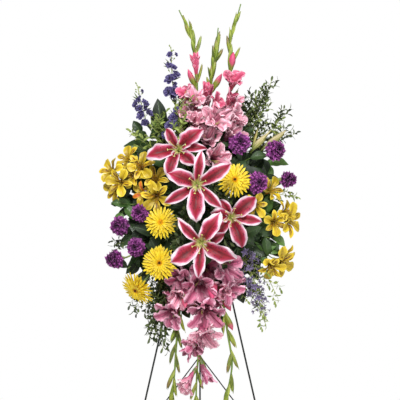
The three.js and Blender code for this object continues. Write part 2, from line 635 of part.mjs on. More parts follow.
// Broad-leaved stems. A leaf is [root share of the stem, tip x, y, z, width], and looks towards the viewer.
const BROAD_LEAVES = [
  {
    socket: ["top", -14, -70], route: [[-40, -74, 1310], [-92, -84, 1330], [-124, -88, 1352]],
    leaves: [[0.98, -129, -92, 1464, 42], [0.72, -150, -96, 1420, 30], [0.55, -64, -78, 1448, 36]],
  },
  {
    socket: ["left", -72, 1232], route: [[-110, -84, 1290], [-160, -94, 1330], [-176, -98, 1362]],
    leaves: [[0.98, -203, -100, 1396, 27], [0.85, -194, -116, 1362, 30], [0.6, -232, -110, 1318, 40], [0.45, -152, -100, 1336, 34], [0.3, -236, -96, 1284, 38]],
  },
  {
    socket: ["left", -70, 1132], route: [[-110, -80, 1136], [-170, -92, 1146], [-200, -100, 1150]],
    leaves: [[0.98, -270, -112, 1142, 40], [0.9, -250, -108, 1176, 26], [0.85, -252, -108, 1104, 26], [0.55, -162, -96, 1068, 40], [0.7, -226, -96, 1020, 38], [0.35, -226, -92, 930, 36]],
  },
  {
    socket: ["right", -68, 1206], route: [[110, -78, 1240], [160, -84, 1262], [200, -88, 1268]],
    leaves: [[0.98, 270, -96, 1262, 34], [0.85, 222, -104, 1216, 42], [0.7, 190, -90, 1322, 40], [0.5, 128, -88, 1286, 40]],
  },
  {
    socket: ["right", -70, 1104], route: [[110, -80, 1110], [170, -92, 1120], [196, -98, 1124]],
    leaves: [[0.98, 246, -108, 1142, 40], [0.9, 244, -116, 1022, 36], [0.6, 180, -112, 1052, 42], [0.4, 196, -100, 960, 38]],
  },
  {
    socket: ["bottom", 36, -70], route: [[56, -84, 980], [90, -96, 940], [108, -102, 912]],
    leaves: [[0.98, 132, -112, 842, 38], [0.7, 176, -116, 1000, 42], [0.35, 62, -94, 868, 34]],
  },
];

// A leaf on its stalk: the blade takes the last part of the way from root to tip.
function broadLeaf(origin, tip, width) {
  const reach = origin.distanceTo(tip);
  const length = Math.min(reach, width * LEAF_LENGTH);
  const stalked = reach - length > 6;
  const root = stalked ? mix(tip, origin, length / reach) : origin;
  const arch = at([0, -0.12 * length, 0]);
  const points = [0, 0.25, 0.58, 1].map((t) => mix(root, tip, t).addScaledVector(arch, Math.sin(Math.PI * t)));
  const widths = [0, width * 0.75, width, 0];
  const body = blade(points, widths, widths.map((w) => w * 0.1), at([0.1, -1, 0.2]).normalize(), 1.5);
  if (!stalked) return body;
  return body.add(tube([origin, mix(root, tip, 0.2).addScaledVector(arch, 0.6)], 1.3, 3));
}


function leafyStem({ socket: entry, route, leaves }) {
  const { solid, curve } = stem(entry, route.map(at), [2.6, 1.6], 4);
  return join([
    solid,
    ...leaves.map(([share, x, y, z, width]) => broadLeaf(curve.getPoint(share), at([x, y, z]), width)),
  ]);
}
BROAD_LEAVES.forEach((spec, i) => place(`broad_leaves_${i + 1}`, leafyStem(spec), COLOUR.leaf));

// The foam block, with a bore for each stem, in its cage of a back plate, a low rim and two hoops.
function foamBlock() {
  return box([-FOAM.x, FOAM.front, FOAM.bottom], [FOAM.x, FOAM.back, FOAM.top]).subtract(join(bores));
}

function foamCage() {
  const inner = FOAM.x + CLEAR;
  const outer = inner + CAGE.wall;
  const back = FOAM.back + CLEAR;
  const plate = box([-outer, back, CAGE.bottom], [outer, back + CAGE.wall, CAGE.top]);
  const rim = box([-outer, back - CAGE.rim, FOAM.bottom - CLEAR - CAGE.wall], [outer, back + 1, FOAM.top + CLEAR + CAGE.wall]);
  const room = box([-inner, back - CAGE.rim - 1, FOAM.bottom - CLEAR], [inner, back, FOAM.top + CLEAR]);
  const hoop = (z) =>
    box([-outer, FOAM.front - CLEAR - CAGE.hoop, z - CAGE.hoop / 2], [outer, back - 1, z + CAGE.hoop / 2]).subtract(
      box([-inner, FOAM.front - CLEAR, z - CAGE.hoop], [inner, back + 1, z + CAGE.hoop]),
    );
  const slot = box([-SLOT.x, back - 5, SLOT.bottom], [SLOT.x, back + 9, SLOT.top]);
  return join([plate, rim.subtract(room), ...CAGE.hoops.map(hoop)]).subtract(slot);
}
place("foam_block", foamBlock(), COLOUR.foam);
place("foam_cage", foamCage(), COLOUR.cage);

// The origin is on the floor in the middle of the spray's bounding box.
const bounds = new THREE.Box3().setFromObject(spray);
const centre = bounds.getCenter(new THREE.Vector3());
spray.position.set(-centre.x, -centre.y, -bounds.min.z);

export default spray;
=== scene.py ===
"""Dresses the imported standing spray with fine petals, leaves, stems and materials. Metres."""

import math
import random

import bpy
import mathutils
import numpy as np
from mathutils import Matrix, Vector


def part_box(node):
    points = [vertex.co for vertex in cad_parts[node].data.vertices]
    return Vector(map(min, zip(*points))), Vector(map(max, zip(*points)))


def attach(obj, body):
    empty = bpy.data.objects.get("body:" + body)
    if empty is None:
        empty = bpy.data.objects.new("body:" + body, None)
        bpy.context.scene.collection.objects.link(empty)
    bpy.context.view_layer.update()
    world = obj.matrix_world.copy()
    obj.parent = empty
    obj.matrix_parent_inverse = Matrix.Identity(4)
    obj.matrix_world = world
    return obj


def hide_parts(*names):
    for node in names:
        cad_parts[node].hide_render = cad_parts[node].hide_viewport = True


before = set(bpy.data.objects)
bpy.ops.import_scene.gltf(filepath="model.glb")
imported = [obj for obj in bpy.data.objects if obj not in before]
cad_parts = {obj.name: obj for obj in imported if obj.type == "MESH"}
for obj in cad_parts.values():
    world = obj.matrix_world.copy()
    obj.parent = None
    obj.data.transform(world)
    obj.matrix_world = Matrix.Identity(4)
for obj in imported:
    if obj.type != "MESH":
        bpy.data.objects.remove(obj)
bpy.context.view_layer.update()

TAU = 2 * math.pi
UP = np.array([0.0, 0.0, 1.0])
GOLDEN = 2.39996  # the turn from one leaf of a spiral to the next

# The part's own numbers: the foam's faces, how far a stem sinks into them and how long a small leaf is
FOAM = {"x": 0.055, "back": -0.0416, "front": -0.1235, "bottom": 1.02, "top": 1.27}
WAY_IN = {"front": (0, 1, 0), "left": (1, 0, 0), "right": (-1, 0, 0), "top": (0, 0, -1), "bottom": (0, 0, 1)}
SINK = 0.026
SMALL_LEAF = 0.024
LEAF_LENGTH = 2.4  # a broad leaf's longest blade, in widths; a stalk makes up what is missing

# The camera stands level with the middle of the picture
VIEW_HEIGHT = 1.155
VIEW_DISTANCE = 4.15
LENS = 120
SENSOR = 36

# The lamps' places, the points they shine at, their widths and powers in watts
LAMPS = {
    "key": ((-0.4, -2.5, 2.8), (0, -0.1, 1.15), 0.9, 76),
    "fill": ((1.8, -2.4, 1.4), (0, -0.1, 1.1), 1.4, 22),
    "back": ((0.9, 2.6, 2.4), (0, -0.1, 1.15), 1.6, 45),
}
SKY_SEEN = 1.0  # the white that the camera sees
SKY_LIGHT = 0.36  # and the softer one that lights the flowers
FLOOR = 2.5  # from the middle of the floor to its edges

# The ribs on the back of the cage's plate
RIB = 0.0012  # their radius
RIB_REACH = 0.05  # how far they reach to either side
PLATE_BACK = -0.0387  # the face that they stand on
RIB_HEIGHTS = (1.034, 1.073, 1.112, 1.151, 1.19, 1.229)  # of the level ones
RIB_PLACES = (-RIB_REACH, -0.025, 0, 0.025, RIB_REACH)  # of the upright ones
OUTER_RIB_TOP = 1.3  # the outer two climb past the highest level rib

SHADE_STEP = 37.0  # how far a piece's own shade of 1 moves its patterns on

# Leaf outlines: rows of (share of the length, share of the width)
BROAD = [(0, 0.05), (0.06, 0.2), (0.25, 0.78), (0.5, 1.0), (0.75, 0.76), (0.92, 0.3), (1, 0.02)]
OVAL = [(0, 0.1), (0.2, 0.75), (0.5, 1.0), (0.8, 0.8), (1, 0.1)]
GRASS = [(0, 0.5), (0.3, 1.0), (0.7, 0.8), (1, 0.02)]
BUD_OUTLINE = [(0, 0.22), (0.12, 0.4), (0.5, 1.0), (0.8, 0.72), (1, 0.04)]

# Petal forms: rows of (share of the length, reach, rise, width, lift of the edges)
LILY_TEPAL = [
    (0, 0.04, 0.0, 0.26, 0.0), (0.2, 0.2, 0.22, 0.62, 0.16), (0.42, 0.44, 0.39, 0.96, 0.12),
    (0.63, 0.69, 0.43, 1.0, 0.04), (0.83, 0.92, 0.34, 0.56, -0.02), (1, 1.03, 0.16, 0.03, -0.06),
]
GLADIOLUS_TEPAL = [
    (0, 0.14, 0.0, 0.3, 0.0), (0.25, 0.3, 0.5, 0.62, 0.18), (0.5, 0.56, 0.86, 1.0, 0.12),
    (0.75, 0.86, 1.06, 0.84, 0.07), (0.92, 1.1, 1.12, 0.5, 0.02), (1, 1.22, 1.1, 0.08, -0.02),
]
HANGING_TEPAL = [
    (0, 0.14, 0.0, 0.3, 0.0), (0.25, 0.3, 0.5, 0.66, 0.18), (0.5, 0.54, 0.86, 1.0, 0.12),
    (0.75, 0.84, 1.08, 1.0, 0.08), (0.92, 1.04, 1.14, 0.78, 0.02), (1, 1.14, 1.12, 0.24, -0.03),
]
TRUMPET_TEPAL = [
    (0, 0.14, 0.0, 0.3, 0.0), (0.3, 0.3, 0.45, 0.62, 0.24), (0.6, 0.5, 0.9, 0.92, 0.2),
    (0.85, 0.72, 1.24, 0.6, 0.08), (1, 0.9, 1.36, 0.04, 0.0),
]
ALSTRO_WIDE = [
    (0, 0.06, 0.0, 0.18, 0.0), (0.3, 0.26, 0.56, 0.4, 0.14), (0.6, 0.6, 0.88, 0.84, 0.1),
    (0.82, 0.88, 0.94, 0.96, 0.02), (0.94, 1.04, 0.92, 0.56, 0.0), (1, 1.12, 0.9, 0.1, -0.02),
]
ALSTRO_NARROW = [
    (0, 0.06, 0.0, 0.2, 0.0), (0.35, 0.26, 0.62, 0.5, 0.12), (0.7, 0.66, 0.98, 1.0, 0.05),
    (0.9, 0.94, 1.0, 0.6, 0.0), (1, 1.06, 0.98, 0.04, -0.04),
]
LARKSPUR_ROWS = [
    (0, 0.1, 0.0, 0.35, 0.0), (0.4, 0.5, 0.5, 0.9, 0.12),
    (0.8, 0.9, 0.72, 0.9, 0.04), (1, 1.05, 0.7, 0.3, 0.0),
]
STAR_ROWS = [(0, 0.05, 0.0, 0.2, 0.0), (0.5, 0.55, 0.6, 1.0, 0.1), (1, 1.1, 0.7, 0.05, 0.0)]

# Gladioli
TRUMPET_RADIUS = 0.023  # a floret below this radius is still half closed
LARGE_RADIUS = 0.033  # and one above this opens wider
PINK_BUDS = (0.75, 1.65)  # the heights between which a thick bud already shows its pink
PINK_RADIUS = 0.0075  # how thick such a bud is at least
# Closed buds at a spike's end: the share of the spike where they start, the share they take up, how many
SPIKE_BUDS = (0.55, 0.31, 6)
HANGING_BUDS = (0.78, 0.12, 3)
# How far the ruffled petals reach beyond the part's plain florets
UPRIGHT_SPREAD = 1.08
HANGING_SPREAD = 1.22
# Florets at the edge of the pink mass that stay narrower, by spike and place in its list
SNUG_FLORETS = {(1, 1): 0.74, (1, 2): 0.74, (2, 3): 0.72, (2, 4): 0.78, (3, 2): 0.7}
# More florets in the dense middle of the spikes: the spike's number, then (x, y, z, radius, rise)
EXTRA_FLORETS = {
    1: [(-0.036, -0.156, 1.436, 0.024, 0.03), (-0.03, -0.17, 1.37, 0.03, 0.04)],
    2: [(0.016, -0.162, 1.45, 0.022, 0.03), (0.012, -0.17, 1.4, 0.03, 0.03)],
    3: [(0.106, -0.156, 1.45, 0.022, 0.03), (0.084, -0.166, 1.42, 0.03, 0.03)],
    4: [(-0.075, -0.16, 0.944, 0.034, 0.02), (-0.086, -0.16, 0.862, 0.024, 0.03)],
    5: [(0.014, -0.17, 0.944, 0.034, 0.02), (-0.02, -0.17, 0.834, 0.028, 0.034),
        (0.036, -0.166, 0.782, 0.024, 0.036), (-0.02, -0.18, 0.722, 0.03, 0.03)],
    6: [(0.1, -0.162, 0.9, 0.026, 0.03), (0.05, -0.166, 0.85, 0.022, 0.03)],
}
# More half-open buds among the hanging florets, (x, y, z, length, radius)
EXTRA_BUDS = {4: [(-0.044, -0.222, 0.836, 0.07, 0.012)], 6: [(0.036, -0.236, 0.862, 0.076, 0.0135)]}

# Gerberas: rings of rays are (count, reach, width, rises at foot, middle and tip)
GERBERA_RINGS = (
    (24, 1.03, 0.125, (-0.05, -0.06, -0.14)), (24, 0.96, 0.125, (0.0, 0.02, -0.02)),
    (22, 0.76, 0.11, (0.04, 0.14, 0.12)), (20, 0.52, 0.09, (0.06, 0.2, 0.24)),
)
EYE_FLORETS = 150
PALE_EYE = 2  # the one gerbera whose eye has no dark dot
GERBERA_BRACTS = 34

# Carnations: rings of petals are (count, reach, rise), as shares of the radius
CARNATION_RINGS = (
    (9, 1.04, 0.1), (10, 0.96, 0.42), (9, 0.78, 0.72), (8, 0.54, 0.95), (6, 0.28, 1.08), (5, 0.13, 1.1),
)
CARNATION_SIZE = 0.93  # the petals' circle beside the part's plain one

# Alstroemerias
ALSTRO_SPREAD = 1.54  # how far the spoon-shaped petals reach beyond the part's plain florets
ALSTRO_REACH = 0.042  # a floret's greatest length
MORE_ALSTROS = {5: [(0.264, -0.152, 1.122, 0.024)], 6: [(0.262, -0.142, 0.984, 0.024)]}
ORANGE_INSIDE = (3, 2)  # the one floret whose inner petals are orange: its cluster and its place there

# Larkspurs: the petals' rows, rings and width, then how many small florets stand between which shares of
# the stem and how far out
LAVENDER = 4  # the number of the one that is lavender
LARKSPUR_FORM = (LARKSPUR_ROWS, 2, 1.15, 9, 0.5, 0.92, 0.014)
LAVENDER_FORM = (STAR_ROWS, 1, 0.62, 104, 0.08, 0.88, 0.044)
TIP_BUDS = 16  # the green buds that close a stem
LEAF_TUFTS = 7  # the threes of narrow leaves along it

# Small-leaved stems: leaves on the stem, side arms, and leaves on each of those
BOXWOOD_FORM = (30, 8, 7)
SPRIG_FORM = {"small": (28, 9, 6), "pale": (16, 5, 6)}

# Lilies, and the stem of lily buds: its fork and knee, its buds and their small bracts from foot to tip, and
# its leaves (share from the knee to the fork, tip, width)
LILY_LEAVES = 9
STAMENS = 6
STYLE = 0.066  # how far the pistil stands out
BUD_FORK = (0.147, -0.141, 1.294)
BUD_KNEE = (0.095, -0.124, 1.262)
LILY_BUDS = (((0.151, -0.146, 1.297), (0.2, -0.151, 1.354), 0.0092),
             ((0.172, -0.132, 1.296), (0.26, -0.132, 1.366), 0.0086))
BUD_BRACTS = (((0.155, -0.15, 1.304), (0.174, -0.154, 1.37)), ((0.166, -0.15, 1.312), (0.214, -0.156, 1.366)))
BUD_LEAVES = ((0.55, (0.1, -0.13, 1.33), 0.014), (0.9, (0.13, -0.15, 1.25), 0.013))

# Broad leaves, by stem and place in its list: the one with lobes and the lighter ones
LOBED_LEAF = (3, 0)
LIGHT_LEAVES = ((4, 1), (4, 0), (2, 4), (5, 0), (1, 1))


# Where everything stands, as in the part but for a few florets, which stand up to 12 mm aside.
# A socket is the foam's face and two of the point's coordinates on it.
# Base, face, tepals (angle in degrees, reach in the view, width) and socket
LILIES = [
    ((-0.063, -0.215, 1.302), (-0.1, -1, 0.12),
     [(191, 0.096, 0.042), (120, 0.072, 0.032), (45, 0.092, 0.044), (4, 0.084, 0.03), (246, 0.088, 0.034),
      (312, 0.072, 0.04)], ("front", -0.014, 1.214)),
    ((-0.009, -0.265, 1.2), (0, -1, 0),
     [(153, 0.09, 0.044), (85, 0.098, 0.032), (26, 0.112, 0.038), (314, 0.096, 0.032), (264, 0.108, 0.046),
      (214, 0.106, 0.034)], ("front", -0.003, 1.172)),
    ((0.09, -0.205, 1.104), (0.12, -1, 0),
     [(45, 0.092, 0.044), (353, 0.092, 0.032), (292, 0.094, 0.042), (225, 0.076, 0.032), (170, 0.062, 0.036),
      (118, 0.062, 0.03)], ("front", 0.018, 1.128)),
    ((0.003, -0.25, 1.032), (0, -1, -0.08),
     [(64, 0.104, 0.044), (137, 0.098, 0.032), (214, 0.104, 0.046), (264, 0.102, 0.034), (331, 0.112, 0.046),
      (12, 0.072, 0.032)], ("front", 0.003, 1.094)),
]
# Socket, route, buds (x, y, z, length, radius) and florets (x, y, z, radius, rise)
GLADIOLI = [
    (("top", -0.02, -0.098),
     [(-0.02, -0.108, 1.34), (-0.014, -0.128, 1.42), (-0.009, -0.138, 1.48), (-0.012, -0.142, 1.56),
      (-0.022, -0.144, 1.632), (-0.04, -0.146, 1.676), (-0.063, -0.148, 1.725)],
     [(-0.03, -0.14, 1.526, 0.044, 0.005), (-0.002, -0.15, 1.478, 0.044, 0.007),
      (-0.036, -0.15, 1.548, 0.064, 0.008), (0.008, -0.146, 1.562, 0.056, 0.006),
      (-0.02, -0.146, 1.606, 0.06, 0.005), (0.005, -0.142, 1.648, 0.064, 0.007),
      (-0.03, -0.15, 1.692, 0.06, 0.007), (-0.052, -0.14, 1.712, 0.056, 0.006)],
     [(-0.014, -0.168, 1.566, 0.018, 0.06), (-0.043, -0.174, 1.48, 0.03, 0.046),
      (-0.038, -0.188, 1.41, 0.027, 0.044), (-0.014, -0.192, 1.456, 0.027, 0.042),
      (-0.014, -0.206, 1.394, 0.026, 0.05)]),
    (("top", 0.003, -0.098),
     [(0.006, -0.112, 1.34), (0.022, -0.122, 1.42), (0.032, -0.126, 1.48), (0.039, -0.128, 1.548),
      (0.048, -0.13, 1.606), (0.055, -0.13, 1.674)],
     [(0.022, -0.132, 1.526, 0.046, 0.006), (0.026, -0.13, 1.556, 0.05, 0.006),
      (0.066, -0.136, 1.536, 0.062, 0.008), (0.07, -0.132, 1.612, 0.052, 0.007),
      (0.04, -0.134, 1.622, 0.06, 0.007), (0.062, -0.132, 1.656, 0.056, 0.006)],
     [(0.023, -0.16, 1.478, 0.022, 0.05), (0.052, -0.178, 1.446, 0.024, 0.04),
      (0.05, -0.212, 1.396, 0.038, 0.044), (0.026, -0.204, 1.346, 0.034, 0.044),
      (0.052, -0.208, 1.276, 0.038, 0.022)]),
    (("top", 0.027, -0.098),
     [(0.038, -0.106, 1.33), (0.072, -0.118, 1.41), (0.088, -0.124, 1.47), (0.093, -0.128, 1.545),
      (0.091, -0.13, 1.63), (0.106, -0.13, 1.684), (0.123, -0.13, 1.746)],
     [(0.116, -0.136, 1.486, 0.048, 0.006), (0.101, -0.14, 1.6, 0.06, 0.009),
      (0.122, -0.132, 1.616, 0.06, 0.005), (0.092, -0.138, 1.668, 0.052, 0.007),
      (0.112, -0.134, 1.716, 0.052, 0.008)],
     [(0.102, -0.174, 1.52, 0.032, 0.044), (0.092, -0.172, 1.458, 0.022, 0.04),
      (0.114, -0.178, 1.402, 0.034, 0.044), (0.098, -0.172, 1.352, 0.026, 0.04)]),
    (("bottom", -0.02, -0.082),
     [(-0.034, -0.11, 0.93), (-0.056, -0.146, 0.85), (-0.066, -0.156, 0.78), (-0.072, -0.16, 0.705),
      (-0.076, -0.162, 0.64), (-0.084, -0.164, 0.555), (-0.093, -0.166, 0.486)],
     [(-0.048, -0.168, 0.764, 0.052, 0.007), (-0.089, -0.166, 0.732, 0.056, 0.007),
      (-0.056, -0.166, 0.712, 0.056, 0.007), (-0.092, -0.164, 0.668, 0.06, 0.007),
      (-0.062, -0.164, 0.636, 0.06, 0.007), (-0.1, -0.166, 0.59, 0.06, 0.008),
      (-0.072, -0.164, 0.568, 0.056, 0.007), (-0.1, -0.166, 0.51, 0.048, 0.006)],
     [(-0.088, -0.192, 0.812, 0.034, 0.04), (-0.058, -0.178, 0.908, 0.034, 0.026),
      (-0.064, -0.196, 0.866, 0.024, 0.036)]),
    (("bottom", 0, -0.082),
     [(0, -0.12, 0.93), (0.002, -0.15, 0.86), (0.002, -0.162, 0.78), (-0.004, -0.166, 0.7),
      (-0.009, -0.168, 0.64), (-0.012, -0.17, 0.555), (-0.015, -0.17, 0.44)],
     [(0.02, -0.176, 0.64, 0.056, 0.006), (-0.03, -0.172, 0.56, 0.052, 0.007),
      (0.008, -0.174, 0.59, 0.056, 0.007), (-0.022, -0.172, 0.486, 0.052, 0.007),
      (0.004, -0.172, 0.52, 0.052, 0.007)],
     [(-0.002, -0.208, 0.896, 0.034, 0.038), (0.018, -0.21, 0.818, 0.038, 0.04),
      (0.008, -0.2, 0.75, 0.035, 0.044), (-0.036, -0.188, 0.706, 0.022, 0.044),
      (0.02, -0.192, 0.632, 0.022, 0.056), (-0.042, -0.19, 0.604, 0.023, 0.056)]),
    (("bottom", 0.021, -0.082),
     [(0.036, -0.112, 0.94), (0.056, -0.138, 0.9), (0.068, -0.146, 0.85), (0.084, -0.15, 0.75),
      (0.096, -0.152, 0.664), (0.087, -0.154, 0.6), (0.078, -0.156, 0.545), (0.068, -0.156, 0.486)],
     [(0.092, -0.156, 0.822, 0.06, 0.009), (0.058, -0.156, 0.8, 0.05, 0.006),
      (0.098, -0.156, 0.764, 0.06, 0.008), (0.068, -0.152, 0.756, 0.056, 0.007),
      (0.106, -0.154, 0.712, 0.056, 0.007), (0.112, -0.156, 0.652, 0.056, 0.007),
      (0.08, -0.16, 0.636, 0.06, 0.007), (0.096, -0.158, 0.58, 0.056, 0.007),
      (0.066, -0.158, 0.52, 0.05, 0.006)],
     [(0.08, -0.184, 0.952, 0.035, 0.016), (0.09, -0.182, 0.888, 0.03, 0.026),
      (0.056, -0.186, 0.88, 0.026, 0.036)]),
]
# Base, face, radius and socket
GERBERAS = [
    ((0.102, -0.222, 1.215), (0.1, -1, 0.1), 0.05, ("front", 0.02, 1.176)),
    ((-0.116, -0.212, 1.089), (-0.1, -1, 0.1), 0.047, ("front", -0.023, 1.121)),
    ((-0.12, -0.212, 0.969), (0, -1, 0), 0.051, ("front", -0.023, 1.071)),
    ((-0.189, -0.176, 0.888), (-0.6, -0.75, -0.6), 0.054, ("left", -0.108, 1.048)),
]
# Base, face, radius and socket
CARNATIONS = [
    ((0.117, -0.186, 1.322), (0.1, -1, 0.2), 0.033, ("front", 0.024, 1.22)),
    ((0.222, -0.166, 1.302), (0.5, -1, 0.2), 0.032, ("right", -0.1, 1.218)),
    ((0.168, -0.19, 1.206), (0.25, -1, 0), 0.034, ("right", -0.112, 1.18)),
    ((0.258, -0.148, 1.216), (0.9, -0.8, 0), 0.027, ("right", -0.092, 1.19)),
    ((-0.177, -0.18, 1.116), (-0.2, -1, 0.1), 0.028, ("left", -0.112, 1.134)),
    ((-0.236, -0.158, 1.077), (-0.55, -0.9, 0), 0.031, ("left", -0.098, 1.116)),
    ((-0.189, -0.18, 1.015), (-0.2, -1, 0), 0.029, ("left", -0.112, 1.096)),
    ((-0.25, -0.146, 0.978), (-0.7, -0.8, -0.1), 0.03, ("left", -0.096, 1.072)),
]
# Socket, fork and florets (x, y, z, radius)
ALSTROEMERIAS = [
    (("left", -0.092, 1.172), (-0.214, -0.122, 1.206),
     [(-0.272, -0.152, 1.248, 0.027), (-0.244, -0.178, 1.208, 0.028), (-0.262, -0.146, 1.18, 0.024)]),
    (("left", -0.108, 1.2), (-0.168, -0.134, 1.228),
     [(-0.222, -0.158, 1.284, 0.027), (-0.178, -0.188, 1.258, 0.028), (-0.204, -0.176, 1.228, 0.024)]),
    (("left", -0.112, 1.16), (-0.122, -0.15, 1.178),
     [(-0.134, -0.196, 1.222, 0.027), (-0.132, -0.206, 1.162, 0.03), (-0.176, -0.184, 1.176, 0.024)]),
    (("right", -0.112, 1.148), (0.15, -0.146, 1.15),
     [(0.219, -0.17, 1.188, 0.027), (0.164, -0.196, 1.138, 0.025)]),
    (("right", -0.098, 1.12), (0.206, -0.13, 1.096),
     [(0.226, -0.172, 1.086, 0.026), (0.276, -0.15, 1.092, 0.032)]),
    (("right", -0.1, 1.068), (0.196, -0.128, 1),
     [(0.246, -0.16, 0.962, 0.033), (0.214, -0.172, 0.95, 0.026)]),
]
# Socket, route and florets (x, y, z, radius)
LARKSPURS = [
    (("top", -0.032, -0.084),
     [(-0.05, -0.096, 1.35), (-0.072, -0.112, 1.425), (-0.084, -0.118, 1.53), (-0.088, -0.12, 1.618)],
     [(-0.092, -0.138, 1.594, 0.01), (-0.078, -0.136, 1.556, 0.009), (-0.07, -0.128, 1.536, 0.011),
      (-0.092, -0.14, 1.52, 0.015), (-0.098, -0.136, 1.482, 0.014), (-0.077, -0.14, 1.484, 0.014),
      (-0.06, -0.128, 1.466, 0.01)]),
    (("top", -0.046, -0.078),
     [(-0.09, -0.092, 1.32), (-0.15, -0.106, 1.368), (-0.176, -0.11, 1.44), (-0.19, -0.112, 1.504)],
     [(-0.196, -0.126, 1.446, 0.011), (-0.184, -0.13, 1.432, 0.012), (-0.166, -0.124, 1.45, 0.011),
      (-0.18, -0.132, 1.41, 0.012), (-0.152, -0.122, 1.42, 0.011), (-0.168, -0.132, 1.39, 0.011)]),
    (("top", -0.042, -0.104),
     [(-0.06, -0.122, 1.31), (-0.084, -0.138, 1.356), (-0.07, -0.148, 1.4), (-0.062, -0.15, 1.43)],
     [(-0.068, -0.166, 1.424, 0.012), (-0.08, -0.172, 1.402, 0.013), (-0.092, -0.168, 1.378, 0.013),
      (-0.106, -0.16, 1.352, 0.012), (-0.072, -0.178, 1.384, 0.011)]),
    (("right", -0.106, 1.044),
     [(0.096, -0.128, 1.016), (0.138, -0.146, 0.968), (0.158, -0.15, 0.925), (0.176, -0.152, 0.858),
      (0.196, -0.152, 0.79)],
     [(0.134, -0.168, 1, 0.013), (0.158, -0.168, 0.984, 0.013), (0.15, -0.172, 0.952, 0.013),
      (0.176, -0.166, 0.944, 0.013), (0.142, -0.166, 0.916, 0.013), (0.164, -0.172, 0.896, 0.013),
      (0.148, -0.164, 0.876, 0.012), (0.176, -0.168, 0.862, 0.012)]),
]
# Socket, route and the share where leaves start
BOXWOODS = [
    (("top", 0.034, -0.08),
     [(0.07, -0.09, 1.31), (0.15, -0.104, 1.34), (0.168, -0.108, 1.4), (0.168, -0.108, 1.478)], 0.38),
    (("top", 0.045, -0.069),
     [(0.09, -0.068, 1.3), (0.164, -0.068, 1.35), (0.192, -0.072, 1.43), (0.219, -0.076, 1.522)], 0.36),
    (("top", 0.015, -0.08),
     [(0.05, -0.088, 1.33), (0.118, -0.096, 1.37), (0.146, -0.098, 1.41), (0.131, -0.098, 1.448)], 0.5),
    (("right", -0.07, 1.246),
     [(0.11, -0.082, 1.29), (0.196, -0.096, 1.346), (0.236, -0.098, 1.394), (0.256, -0.098, 1.434)], 0.42),
    (("bottom", -0.04, -0.076),
     [(-0.084, -0.104, 0.94), (-0.122, -0.132, 0.88), (-0.138, -0.14, 0.81), (-0.153, -0.142, 0.735)], 0.31),
    (("bottom", -0.006, -0.072),
     [(-0.05, -0.084, 0.93), (-0.094, -0.104, 0.85), (-0.1, -0.11, 0.77), (-0.114, -0.112, 0.702)], 0.5),
]
# Socket, route and leaves (share of the route, x, y, z, width)
BROAD_LEAVES = [
    (("top", -0.014, -0.07),
     [(-0.04, -0.074, 1.31), (-0.092, -0.084, 1.33), (-0.124, -0.088, 1.352)],
     [(0.98, -0.129, -0.092, 1.464, 0.042), (0.72, -0.15, -0.096, 1.42, 0.03),
      (0.55, -0.064, -0.078, 1.448, 0.036)]),
    (("left", -0.072, 1.232),
     [(-0.11, -0.084, 1.29), (-0.16, -0.094, 1.33), (-0.176, -0.098, 1.362)],
     [(0.98, -0.203, -0.1, 1.396, 0.027), (0.85, -0.194, -0.116, 1.362, 0.03),
      (0.6, -0.232, -0.11, 1.318, 0.04), (0.45, -0.152, -0.1, 1.336, 0.034),
      (0.3, -0.236, -0.096, 1.284, 0.038)]),
    (("left", -0.07, 1.132), [(-0.11, -0.08, 1.136), (-0.17, -0.092, 1.146), (-0.2, -0.1, 1.15)],
     [(0.98, -0.27, -0.112, 1.142, 0.04), (0.9, -0.25, -0.108, 1.176, 0.026),
      (0.85, -0.252, -0.108, 1.104, 0.026), (0.55, -0.162, -0.096, 1.068, 0.04),
      (0.7, -0.226, -0.096, 1.02, 0.038), (0.35, -0.226, -0.092, 0.93, 0.036)]),
    (("right", -0.068, 1.206), [(0.11, -0.078, 1.24), (0.16, -0.084, 1.262), (0.2, -0.088, 1.268)],
     [(0.98, 0.27, -0.096, 1.262, 0.034), (0.85, 0.222, -0.104, 1.216, 0.042),
      (0.7, 0.19, -0.09, 1.322, 0.04), (0.5, 0.128, -0.088, 1.286, 0.04)]),
    (("right", -0.07, 1.104), [(0.11, -0.08, 1.11), (0.17, -0.092, 1.12), (0.196, -0.098, 1.124)],
     [(0.98, 0.246, -0.108, 1.142, 0.04), (0.9, 0.244, -0.116, 1.022, 0.036),
      (0.6, 0.18, -0.112, 1.052, 0.042), (0.4, 0.196, -0.1, 0.96, 0.038)]),
    (("bottom", 0.036, -0.07), [(0.056, -0.084, 0.98), (0.09, -0.096, 0.94), (0.108, -0.102, 0.912)],
     [(0.98, 0.132, -0.112, 0.842, 0.038), (0.7, 0.176, -0.116, 1, 0.042),
      (0.35, 0.062, -0.094, 0.868, 0.034)]),
]
